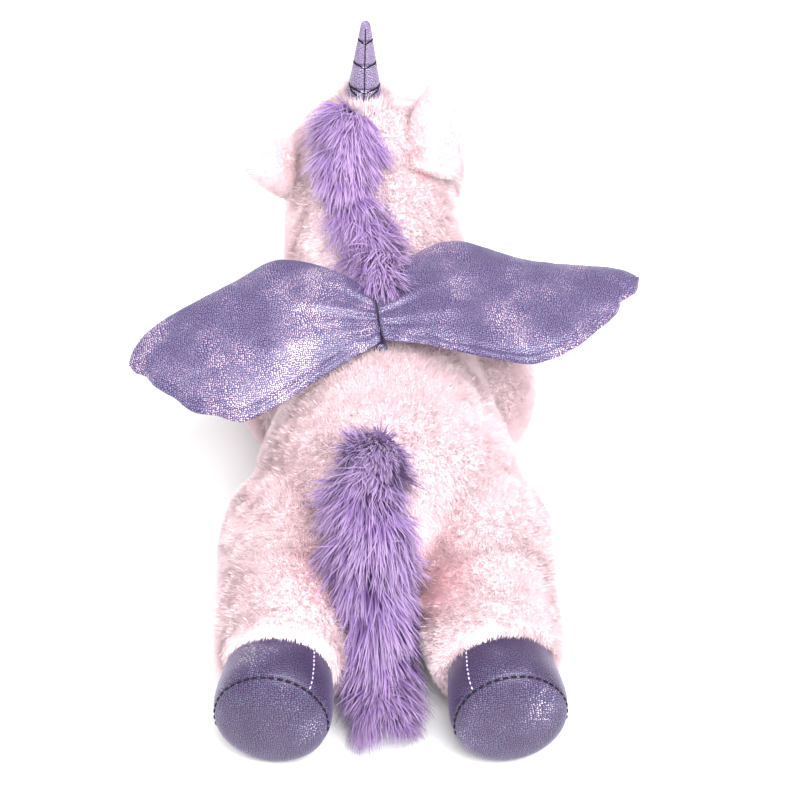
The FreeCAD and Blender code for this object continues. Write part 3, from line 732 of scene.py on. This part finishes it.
def makeLeg(name, seed):
    # a sleeve and a hoof, each a profile spun about the leg's axis
    spec = hindLook if name.startswith("hind") else foreLook
    start, along, side, up, reach = legFrame(name)
    shrink = (reach + (9.5 if name.startswith("hind") else 2)) / spec["hoof"][-1][0]
    stretch = [(far * shrink if far > 0 else far, radius) for far, radius in spec["sleeve"]]
    rings, line, angle = spunRings(stretch, start, along, side, up, 56, 60)
    rings = restOnFloor(rings, 1.2, 3.0)
    rough = newObject(name + "_pelt", solid(name + "_pelt", rings), pinkBacking)
    fur = pile(name + "_pile", rough, furLook,
               lambda spots, normals: np.broadcast_to(along, spots.shape) - (0, 0, 0.3), seed, pinkPile)
    for piece in (rough, fur):
        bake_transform(piece)
    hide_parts(name + "_skin", name + "_stuffing")
    hoofLine = [(far * shrink, radius) for far, radius in spec["hoof"]]
    rings, line, angle = spunRings(hoofLine, start, along, side, up, 96, 110)
    # the sole stands upright although the leg slopes down to it
    tilt = 0.13
    grown = blendStep(line[:, 0], 58 * shrink, 92 * shrink)[:, None]
    upright = grown * line[:, 1:] * np.sin(angle)[None] * tilt
    rings = restOnFloor(rings - along * upright[..., None], 0.4, 1.0)
    points, faceSets = closedTube(rings)
    mesh = makeMesh(name + "_hoof", points, faceOut(points, faceSets))
    arc = np.concatenate([[0], np.cumsum(np.hypot(np.diff(line[:, 0]), np.diff(line[:, 1])))])
    around = np.cos(angle)[None] * (arc[-1] - arc)[:, None]
    across = np.sin(angle)[None] * (arc[-1] - arc)[:, None]
    uv = np.stack([around, across], -1).reshape(-1, 2)
    setUv(mesh, np.vstack([uv, uv[0], uv[-1]]))
    hoof = newObject(name + "_hoof", mesh, hoofFoil)
    rim = np.array(spec["rim"]) * (shrink, 1)
    turn = np.linspace(-0.25, np.pi + 0.25, 160)
    out = side * np.cos(turn)[:, None] + up * np.sin(turn)[:, None]
    path = start + along * (rim[0] - rim[1] * np.sin(turn) * tilt)[:, None] + out * rim[1]
    rimSeam = joinMeshes(name + "_rim_stitches", dashes(path, out * 0.6 + along * 0.6, 2.5, 1.2, 0.42),
                         darkThread)
    inner = np.radians(132 if name.endswith("left") else 48)
    back = np.linspace(0, 1, 30)[:, None]
    out = side * math.cos(inner) + up * math.sin(inner)
    near = spec["hoof"][1][0] * shrink
    far = rim[0] - 1 - back[:, 0] * (rim[0] - 1 - near)
    radius = np.interp(far, [knot[0] * shrink for knot in spec["hoof"]], [knot[1] for knot in spec["hoof"]])
    line = start + along * (far - radius * math.sin(inner) * tilt * blendStep(far, 58, 92))[:, None]
    line = line + out * (radius[:, None] + 0.1)
    sideSeam = joinMeshes(name + "_side_stitches",
                          dashes(line, np.broadcast_to(out, line.shape), 1.3, 1.2, 0.33), paleThread)
    for seam in (rimSeam, sideSeam):
        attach(seam, name)
    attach(hoof, name)
    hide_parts(name + "_hoof_upper", name + "_hoof_sole")


for order, name in enumerate(legNames):
    makeLeg(name, 40 + 7 * order)
print("legs ready")


headLook = {
    "ball": (43, 41, 38.5), "sink": 1.5, "shift": -1.5, "muzzleFore": 38, "muzzleDrop": 15,
    "muzzle": (28, 34, 25), "voxel": 3.0, "relax": 10,
}
headMiddle = pivot("head_turn")
across = axisOf("head_nod")
ahead = unit(np.cross((0, 0, 1), across))
crown = np.cross(across, ahead)


def headPlace(right, fore, up):
    # a place in the head's own directions
    return headMiddle + across * right + ahead * fore + crown * up


def layFromNose(points, normals):
    # the nap runs from the nose back over the crown
    return np.broadcast_to(-ahead - crown * 0.3, points.shape)


def makeHead(spec):
    # two eggs, skull and muzzle, welded into one skin
    axes = (across, ahead, crown)
    parts = [solid("skull", eggRings(headPlace(spec["shift"], 0, -spec["sink"]), spec["ball"], axes)),
             solid("muzzle", eggRings(headPlace(0, spec["muzzleFore"], -spec["muzzleDrop"]), spec["muzzle"],
                                      axes))]
    skin = weld("head_skin", parts, spec["voxel"], spec["relax"], pinkBacking)
    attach(skin, "head")
    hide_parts("head_left_panel", "head_right_panel", "head_gusset", "head_stuffing",
                "eye_washer_left", "eye_washer_right")
    fur = pile("head_pile", skin, furLook, layFromNose, 21, pinkPile)
    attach(fur, "head")
    return skin


headSkin = makeHead(headLook)
print("head ready")


# neck gusset: a soft bowl behind the head, under the head's own pile
gussetLook = {"outer": 42.6, "inner": 38.5, "reach": 112}


def makeGusset(spec):
    # part of a hollow ball about the head joint, open towards the face
    down = unit((0.065, -0.861, -0.505))  # back along the neck
    side = unit(np.cross(down, (0, 0, 1)))
    lower = np.radians(np.linspace(1, spec["reach"], 40))
    outer = np.stack([np.cos(lower), np.sin(lower)], 1) * spec["outer"]
    inner = np.stack([np.cos(lower[::-1]), np.sin(lower[::-1])], 1) * spec["inner"]
    rings = spunRings(np.vstack([outer, inner]), headMiddle, down, side, np.cross(side, down), 64, 90)[0]
    bowl = newObject("neck_gusset_skin", solid("neck_gusset_skin", rings), pinkBacking)
    fur = pile("neck_gusset_pile", bowl, furLook, layBack, 31, pinkPile,
               lambda spots, normals: ((spots - headMiddle) * normals).sum(1) > 20)
    for piece in (bowl, fur):
        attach(piece, "neck")
    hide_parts("neck_gusset")


makeGusset(gussetLook)
print("neck ready")


earLook = {
    "ear_left": {"foot": (-38, 101, 110), "along": (-0.95, 0.0, 0.31), "length": 37, "wide": 17,
                 "back": (0.12, -0.77, 0.60)},
    "ear_right": {"foot": (17, 84, 124), "along": (0.25, 0.56, 0.79), "length": 46, "wide": 16.5,
                  "back": (-0.04, -0.81, 0.575)},
    "thick": 7.2, "cup": 0.2,
}
earFur = dict(furLook, length=4.0, density=3.2, lean=26)


def earFrame(spec):
    # along = away from the head, thin = out of the ear's back, broad = across it
    along = unit(spec["along"])
    thin = np.array(spec["back"], float)
    thin = unit(thin - along * (along @ thin))
    return np.array(spec["foot"], float), along, np.cross(thin, along), thin


def earRings(spec, size, far0, thick, shift):
    # leaf outline: widest at the foot, closing round at the tip; cupped forward
    foot, along, broad, thin = earFrame(spec)
    far = far0 + (1 - far0) * (1 - (1 - np.linspace(0, 1, 44)) ** 1.5)
    wide = spec["wide"] * size * (1.0 - 0.38 * far) * np.sqrt(np.clip(1 - far ** 3.4, 0.0004, 1))
    deep = thick * np.sqrt(np.clip(1 - far ** 3, 0.0004, 1))
    if far0 > 0:
        rounded = np.sqrt(np.clip(1 - (1 - (far - far0) / 0.25) ** 2, 0.0004, 1))
        near = np.where(far < far0 + 0.25, rounded, 1)
        wide, deep = wide * near, deep * near
    angle = np.linspace(0, 2 * np.pi, 48, endpoint=False)
    x = np.cos(angle)[None] * wide[:, None]
    z = np.sin(angle)[None] * deep[:, None] + shift - earLook["cup"] * (x ** 2) / spec["wide"]
    out = (far * spec["length"] * (0.5 + size / 2))[:, None, None]
    return foot + along * out + broad * x[..., None] + thin * z[..., None]


def makeEar(name, seed):
    # a cupped leaf of fur with a thinner foil leaf on its front
    foot, along, broad, thin = earFrame(earLook[name])
    skin = newObject(name + "_skin", solid(name + "_skin",
                                           earRings(earLook[name], 1, 0, earLook["thick"], 0)), pinkBacking)
    fur = pile(name + "_pile", skin, earFur, lambda spots, normals: np.broadcast_to(along, spots.shape), seed,
               pinkPile)
    for piece in (skin, fur):
        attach(piece, name)
    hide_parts(name + "_back")
    front = earRings(earLook[name], 0.72, 0.3, 1.2, -earLook["thick"] - 1.2)
    points, faceSets = closedTube(front)
    mesh = makeMesh(name + "_cloth", points, faceOut(points, faceSets))
    setUv(mesh, np.stack([(points - foot) @ broad, (points - foot) @ along], 1))
    lining = newObject(name + "_cloth", mesh, foil)
    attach(lining, name)
    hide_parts(name + "_lining")


makeEar("ear_left", 61)
makeEar("ear_right", 67)
print("ears ready")


faceLook = {"eye": 6.6, "nostril": (7.5, 2.4)}
clearCoat = {"Coat Weight": 1.0, "Coat Roughness": 0.03}
eyePlastic = newMaterial("eye plastic", {"Base Color": (0.012, 0.008, 0.014, 1), "Roughness": 0.08,
                                         **clearCoat})[0]
irisPlastic = newMaterial("eye iris", {"Base Color": (0.10, 0.035, 0.22, 1), "Roughness": 0.15,
                                       **clearCoat})[0]


def makeEye(name):
    # a low dome on the skin: x = 4.2 cos t, r = eye * sin t
    middle = boxMiddle(name)
    out = unit(middle - headMiddle)
    side = unit(np.cross(out, (0, 0, 1)))
    up = np.cross(side, out)
    near = np.argmin(((headPoints - headMiddle - out * 42) ** 2).sum(1))
    skinAt = headMiddle + out * ((headPoints[near] - headMiddle) @ out)
    turn = np.linspace(0.02, np.pi - 0.02, 50)
    dome = np.stack([np.cos(turn) * 4.2, np.sin(turn) * faceLook["eye"]], 1)
    rings, line, angle = spunRings(dome, skinAt + out * 2.6, out, side, up, 64, 60)
    eye = newObject(name + "_bead", solid(name + "_bead", rings), irisPlastic)
    pupil = np.stack([np.cos(turn) * 1.6, np.sin(turn) * faceLook["eye"] * 0.56], 1)
    rings, line, angle = spunRings(pupil, skinAt + out * 5.6, out, side, up, 48, 40)
    dark = newObject(name + "_pupil", solid(name + "_pupil", rings), eyePlastic)
    for piece in (eye, dark):
        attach(piece, "head")
    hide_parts(name)


headPoints = readSkin(headSkin)[0]
makeEye("eye_left")
makeEye("eye_right")


def onHead(points, lift):
    # drops points onto the head's skin, then lifts them a little towards the outside
    spots, normals, corners = readSkin(headSkin)
    near = np.array([np.argmin(((spots - point) ** 2).sum(1)) for point in points])
    return spots[near] + normals[near] * lift, normals[near]


def makeFace():
    # nostrils are small satin-stitched ovals, the mouth a shallow stitched smile
    sets = []
    for side in (-1, 1):
        for row in range(6):
            across1 = (row - 2.5) / 2.5
            high = faceLook["nostril"][0] / 2 * math.sqrt(max(0.05, 1 - across1 ** 2 * 0.9))
            line = [headPlace(side * 11 + across1 * faceLook["nostril"][1], 78, -10 + k * high) for k in
                    np.linspace(-1, 1, 9)]
            path, normals = onHead(np.array(line), 2.4)
            sets.append(threadRings(path, 0.6, 8))
    nose = joinMeshes("nostril_threads", sets, roseThread)
    bend = np.linspace(-1, 1, 41)
    line = np.array([headPlace(15 * b, 74 - 2 * b * b, -24 + 4.5 * b * b) for b in bend])
    path, normals = onHead(line, 2.6)
    mouth = joinMeshes("mouth_threads", [threadRings(path[2:-2:2], 0.8, 10)], roseThread)
    for piece, node_ in ((nose, "nostril_stitching"), (mouth, "mouth_stitching")):
        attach(piece, "head")
        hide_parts(node_)


makeFace()
print("face ready")


hornLook = {"low": 9.0, "high": 2.1, "rings": (0.17, 0.47, 0.76), "thread": 0.42}


def makeHorn(spec):
    # a tapered cone, r = low + (high - low) * part, nipped in by rings of thread
    points = nodePoints("horn_cover")
    middle = points.mean(0)
    ways = np.linalg.eigh(np.cov((points - middle).T))[1]
    along = ways[:, 2] * (1 if ways[2, 2] > 0 else -1)
    far = (points - middle) @ along
    foot, tall = middle + along * far.min(), far.max() - far.min()
    side = unit(np.cross(along, (0, -1, 0)))
    back = np.cross(side, along)
    back = back if back[1] < 0 else -back

    def radiusAt(part):
        # straight taper, pulled in at each ring of thread, rounded at the tip
        radius = spec["low"] + (spec["high"] - spec["low"]) * part
        for ring in spec["rings"]:
            radius = radius - 0.75 * np.exp(-((part - ring) / 0.022) ** 2)
        return radius * np.sqrt(np.clip(1 - np.clip((part - 0.94) / 0.06, 0, 1) ** 2, 0.0001, 1))

    part = np.linspace(-0.03, 1, 130)
    angle = np.linspace(0, 2 * np.pi, 72, endpoint=False)
    circle = side * np.cos(angle)[:, None] + back * np.sin(angle)[:, None]
    seam = 1 - 0.07 * np.exp(-((angle - np.pi / 2) / 0.09) ** 2)
    radius = radiusAt(part)[:, None] * seam[None]
    rings = foot + along * (part * tall)[:, None, None] + circle[None] * radius[..., None]
    points, faceSets = closedTube(rings)
    mesh = makeMesh("horn", points, faceOut(points, faceSets))
    flat = np.stack(np.broadcast_arrays((angle - np.pi / 2)[None] * 7.0, (part * tall)[:, None]), -1)
    flat = flat.reshape(-1, 2)
    setUv(mesh, np.vstack([flat, flat[0], flat[-1]]))
    horn = newObject("horn", mesh, hornFoil)
    turns = np.linspace(0, 2 * np.pi, 60)
    sets = []
    for ring in spec["rings"]:
        dip = ring - 0.035 * np.exp(-((turns - np.pi / 2) / 0.35) ** 2)
        spot = foot + along * (dip * tall)[:, None]
        around = side * np.cos(turns)[:, None] + back * np.sin(turns)[:, None]
        lifted = radiusAt(np.full(60, ring))[:, None] + 0.35
        sets.append(threadRings(spot + around * lifted, spec["thread"], 8, False))
    spots = [(-1.3, 0.17), (-0.6, 0.13), (0, 0.06), (0.6, 0.13), (1.3, 0.17)]
    zig = np.array(spots)
    where = np.linspace(0, 1, 60)
    line = np.stack([np.interp(where, np.linspace(0, 1, len(zig)), zig[:, k]) for k in (0, 1)], 1)
    at = foot + along * (line[:, 1:] * tall)
    around = side * np.sin(line[:, :1]) + back * np.cos(line[:, :1])
    sets.append(threadRings(at + around * (radiusAt(line[:, 1:]) + 0.45), spec["thread"] * 0.9, 8))
    rise = np.linspace(0.05, 0.93, 60)[:, None]
    sets.append(threadRings(foot + along * rise * tall + back * (radiusAt(rise) * 0.93 + 0.1), 0.3, 8))
    threads = joinMeshes("horn_threads", sets, darkThread)
    for piece, slot in ((horn, "foil_cloth"), (threads, "black_thread")):
        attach(piece, "head")
    # a collar of pile stands round the horn's foot
    rng = np.random.default_rng(91)
    swing = rng.uniform(0, 2 * np.pi, 1500)
    out = side * np.cos(swing)[:, None] + back * np.sin(swing)[:, None]
    roots = foot + out * rng.uniform(8.6, 13, 1500)[:, None] - along * rng.uniform(1.5, 4.5, 1500)[:, None]
    rise = along * 0.9 + out * rng.uniform(-0.1, 0.5, 1500)[:, None] + rng.normal(0, 0.15, (1500, 3))
    collar = strands("horn_collar_pile", roots, unit(rise), unit(rise + out * 0.3), rng.uniform(6, 9.5, 1500),
                     rng.uniform(0.4, 0.7, 1500), out, 2, rng.random(1500), pinkPile)
    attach(collar, "head")
    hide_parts("horn_cover", "horn_stuffing")
    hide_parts("horn_thread")


makeHorn(hornLook)
print("horn ready")


wingLook = {
    "left": {
        "upper": [(0.2, 7), (2, 13), (10, 23), (24, 32), (38, 37), (48, 36.5), (62, 30), (80, 23), (96, 16.5),
                  (108, 9.5), (115, 1.5), (117.5, -4.5)],
        "lower": [(0.2, -9), (2, -13.5), (16, -20), (32, -28), (50, -37.5), (66, -43.5), (73, -43),
                  (79, -39.5), (84, -37.5), (90, -35.5), (95, -31), (98, -27), (103, -22.5), (107.5, -18),
                  (110.5, -13), (115, -10), (117.5, -6)],
    },
    "right": {
        "upper": [(0.2, 8), (2, 15), (12, 29.5), (27, 38.5), (38, 42), (47, 41.5), (57, 36), (68, 29),
                  (80, 23.5), (95, 19.5), (112, 16.5), (121, 13), (126.5, 8)],
        "lower": [(0.2, -10), (2, -15), (17, -20), (32, -27), (50, -35), (64, -40), (73, -39), (80, -36.5),
                  (87, -33), (92.5, -29.5), (99, -24), (107, -18), (112.5, -12), (115, -6.5), (119, -4),
                  (124, 0), (126.5, 6)],
    },
    "puff": 6.6, "rings": 150, "around": 120, "groove": 0.9,
}


def wingFrame(label):
    # v = the flap axis towards the nose, n = the flat solid's thin direction (up), u = outward
    points = nodePoints("wing_" + label + "_wadding")
    middle = points.mean(0)
    v = axisOf("wing_" + label + "_flap")
    v = v if v[1] > 0 else -v
    n = np.linalg.eigh(np.cov((points - middle).T))[1][:, 0]
    n = n if n[2] > 0 else -n
    u = np.cross(v, n)
    u = u if u @ (middle - pivot("wing_" + label + "_flap")) > 0 else -u
    far = (points - middle) @ u
    wide = (points - middle) @ v
    root = middle + u * (far.min() - 4.0) + v * (wide.max() - 39)
    return root, u, v, n


def makeWing(label, seed):
    # a flat outline puffed up: height = swell * |sin|^1.25, with puckers, folds and dents
    spec = wingLook[label]
    root, u, v, n = wingFrame(label)
    dense = np.linspace(0, 1, 1200)
    upper, lower = throughKnots(spec["upper"], dense), throughKnots(spec["lower"], dense)
    start, stop = upper[0, 0], upper[-1, 0]
    step = np.linspace(0, 1, wingLook["rings"])
    out = start + (stop - start) * (step + 0.16 * np.sin(np.pi * step) * np.cos(np.pi * step) * -1)
    high = np.interp(out, upper[:, 0], upper[:, 1])
    low = np.interp(out, lower[:, 0], lower[:, 1])
    half, centre = (high - low) / 2, (high + low) / 2
    angle = np.linspace(0, 2 * np.pi, wingLook["around"], endpoint=False)
    c, s = np.cos(angle), np.sin(angle)
    swell = wingLook["puff"] * (0.42 + 0.58 * blendStep(out, 2, 34)) * (1 - 0.35 * blendStep(out, 60, 118))
    swell = swell * np.clip(half / 14, 0.08, 1) ** 0.6
    chord = centre[:, None] + half[:, None] * c[None]
    raised = np.abs(s)[None] ** 1.25 * np.sign(s)[None] * swell[:, None]
    # puckers along the seam, folds running out from the root, soft dents in the filling
    seamFar = (1 - np.abs(c))[None] * half[:, None]
    flat = np.stack(np.broadcast_arrays(out[:, None], chord), -1)
    pucker = ripple(flat, 7.0, seed) * 0.45 * np.exp(-seamFar / 6)
    ray = np.arctan2(chord + 4, out[:, None] + 14)
    folds = (np.sin(ray * 17 + seed) + 0.6 * np.sin(ray * 31 + 2 * seed)) * 0.7
    folds = folds * np.exp(-out[:, None] / 55) * np.abs(s)[None]
    dents = ripple(flat, 26.0, seed + 3) * 0.7 * np.abs(s)[None]
    side = np.sign(s)[None]
    raised = raised + side * (pucker * np.abs(s)[None] ** 0.5 + folds + dents)
    # the under panel shows below the seam along the trailing edge: the seam's groove sits on top
    groove = np.exp(-(((chord - low[:, None]) - 4.2) / 1.1) ** 2) * (s[None] > 0) * wingLook["groove"]
    groove = groove * blendStep(out, 6, 20)[:, None]
    raised = raised - groove
    raised = raised + 2.6 - 3.2 * ((out[:, None] - 40) / 80) ** 2
    rings = root + u * out[:, None, None] + v * chord[..., None] + n * raised[..., None]
    points, faceSets = closedTube(rings)
    mesh = makeMesh("wing_" + label, points, faceOut(points, faceSets))
    plan = np.stack([flat[..., 0] + np.where(side > 0, 0, 200), flat[..., 1]], -1).reshape(-1, 2)
    setUv(mesh, np.vstack([plan, plan[0], plan[-1]]))
    wing = newObject("wing_" + label, mesh, foil)
    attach(wing, "wing_" + label)
    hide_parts(*("wing_" + label + layer for layer in ("_top", "_under", "_wadding")))


makeWing("left", 3)
makeWing("right", 8)
print("wings ready")


def makeWingSeam():
    # a soft ridge between the wings with a row of stitches on top
    low, high = (np.array(corner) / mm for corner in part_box("wing_seam_tab"))
    points = nodePoints("wing_seam_tab")
    middle = points.mean(0)
    ways = np.linalg.eigh(np.cov((points - middle).T))[1]
    along = ways[:, 2] * (1 if ways[1, 2] > 0 else -1)
    reach = (points - middle) @ along
    top = middle + (0, 0, (high[2] - low[2]) * 0.5)
    part = np.linspace(reach.min() + 7, reach.max(), 30)
    knots = np.column_stack([top + along * part[:, None] - (0, 0, 5), np.full(30, 3.2)])
    rings = tubeRings(knots, 24, 60)
    mesh = solid("wing_seam_ridge", rings)
    place = rings.reshape(-1, 3)
    plan = np.stack([(place - middle) @ along, place[:, 0]], 1)
    setUv(mesh, np.vstack([plan, plan[0], plan[-1]]))
    ridge = newObject("wing_seam_ridge", mesh, foil)
    line = top + along * part[:, None] - (0, 0, 1.8)
    thread = joinMeshes("wing_seam_stitches", dashes(line, np.tile((0, 0, 1.0), (30, 1)), 3.6, 0.6, 0.5),
                        violetThread)
    for piece, slot, hidden in ((ridge, "foil_cloth", "wing_seam_tab"),
                                (thread, "seam_thread", "wing_seam_thread")):
        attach(piece, "torso")
        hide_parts(hidden)


makeWingSeam()


maneLook = {
    "crest": [(-16, 97, 146), (-19, 89, 143), (-21, 79, 136), (-20, 71, 126)],
    "nape": [(-18, 66, 119), (-12, 52, 111), (-6, 32, 107), (-3.5, 8, 105)],
    "radius": 5, "clumps": 125, "each": 28, "fan": 98, "length": (23, 25, 24, 21), "width": 0.9,
    "lift": 0.75, "along": 0.45, "sag": 0.55, "endAlong": 0.75, "floor": -50, "stray": 0.16,
}
tailLook = {
    "path": [(-4, -86, 89), (-6, -100, 91.5), (-7.5, -116, 87), (-8, -130, 75), (-7, -137.5, 58),
             (-5.5, -141, 42), (-4.5, -147, 27), (-3, -160, 16), (-1.5, -176, 10)],
    "radius": 6, "clumps": 330, "each": 30, "fan": 130, "length": (15, 24, 28, 29, 28, 28, 27, 25, 20),
    "width": 1.0, "lift": 0.8, "along": 0.5, "sag": 0.25, "endAlong": 1.0, "floor": 0.8, "stray": 0.17,
}


def locks(name, path, spec, seed, body, material):
    # clumps of long strands around a cord: each leans out from the cord and bends along it
    rng = np.random.default_rng(seed)
    count, each = spec["clumps"], spec["each"]
    where = (np.arange(count) + rng.random(count)) / count
    turn = np.radians(spec["fan"]) * np.sin(rng.uniform(-np.pi / 2, np.pi / 2, count))
    turn = turn * rng.uniform(0.55, 1, count)
    total = count * each
    owner = np.repeat(np.arange(count), each)
    near = np.clip(where[owner] + rng.normal(0, 0.012, total), 0, 1)
    swing = turn[owner] + rng.normal(0, 0.22, total)
    knots = np.asarray(path, float)
    spot = throughKnots(knots, near)
    after, before = (throughKnots(knots, np.clip(near + hop, 0, 1)) for hop in (0.01, -0.01))
    ahead = unit(after - before)
    side = unit(np.cross(ahead, (0, 0, 1)) + np.cross(ahead, (0, -1, 0)) * 0.6)
    up = np.cross(side, ahead)
    up = np.where((up[:, 2] - up[:, 1] > 0)[:, None], up, -up)
    radial = side * np.sin(swing)[:, None] + up * np.cos(swing)[:, None]
    roots = spot + radial * spec["radius"] * rng.uniform(0.4, 1, total)[:, None]
    bend = rng.normal(0, 0.28, (count, 3))[owner] + rng.normal(0, spec["stray"], (total, 3))
    firstWay = unit(radial * spec["lift"] + ahead * spec["along"] + bend * 0.6)
    lastWay = unit(radial * 0.30 + ahead * spec["endAlong"] - np.array([0, 0, spec["sag"]]) + bend)
    length = throughKnots(np.array(spec["length"], float)[:, None], near)[:, 0]
    length = length * rng.uniform(0.75, 1.12, count)[owner] * rng.uniform(0.8, 1.05, total)
    width = spec["width"] * rng.uniform(0.6, 1.15, total)
    shade = np.clip(rng.random(count)[owner] * 0.6 + rng.random(total) * 0.4, 0, 1)
    hair = strands(name, roots, firstWay, lastWay, length, width, unit(radial + 0.3 * up), 6, shade, material,
                   2.6)
    if spec["floor"] > 0:
        points = np.empty(len(hair.data.vertices) * 3, np.float32)
        hair.data.vertices.foreach_get("co", points)
        points[2::3] = np.maximum(points[2::3], spec["floor"] * mm + 0.0006 * (points[2::3] * 1000 % 1))
        hair.data.vertices.foreach_set("co", points)
    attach(hair, body)
    return hair


def cord(name, path, radius, body, *hidden):
    # the sewn cord or patch the long pile grows from
    knots = np.column_stack([path, np.full(len(path), float(radius))])
    core = newObject(name, solid(name, tubeRings(knots, 28, 60)), lilacBacking)
    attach(core, body)
    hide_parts(*hidden)


cord("mane_crest_patch", maneLook["crest"], 4, "head", "mane_crest")
locks("mane_crest_locks", maneLook["crest"], maneLook, 71, "head", lilacPile)
cord("mane_nape_patch", maneLook["nape"], 4, "torso", "mane_nape")
locks("mane_nape_locks", maneLook["nape"], maneLook, 73, "torso", lilacPile)
cord("tail_cord", [(-6, -98, 88)] + tailLook["path"][2:], 4.5, "tail", "tail_core")
# the tail's strands take the darker lilac of painted shade
locks("tail_locks", tailLook["path"], tailLook, 79, "tail", shadedTailPile)
cord("tail_root_patch", [(-4, -84, 85), (-5, -91, 88), (-6, -98, 88)], 3.5, "tail_root", "tail_root")
rootLook = dict(tailLook, clumps=110, each=26, length=(14, 19, 22), along=0.7, endAlong=1.1, lift=0.4,
                radius=4, floor=-50)
locks("tail_root_locks", [(-4, -83, 90), (-5, -91, 93), (-6, -97, 93)], rootLook, 83, "tail_root", rootPile)
print("mane and tail ready")
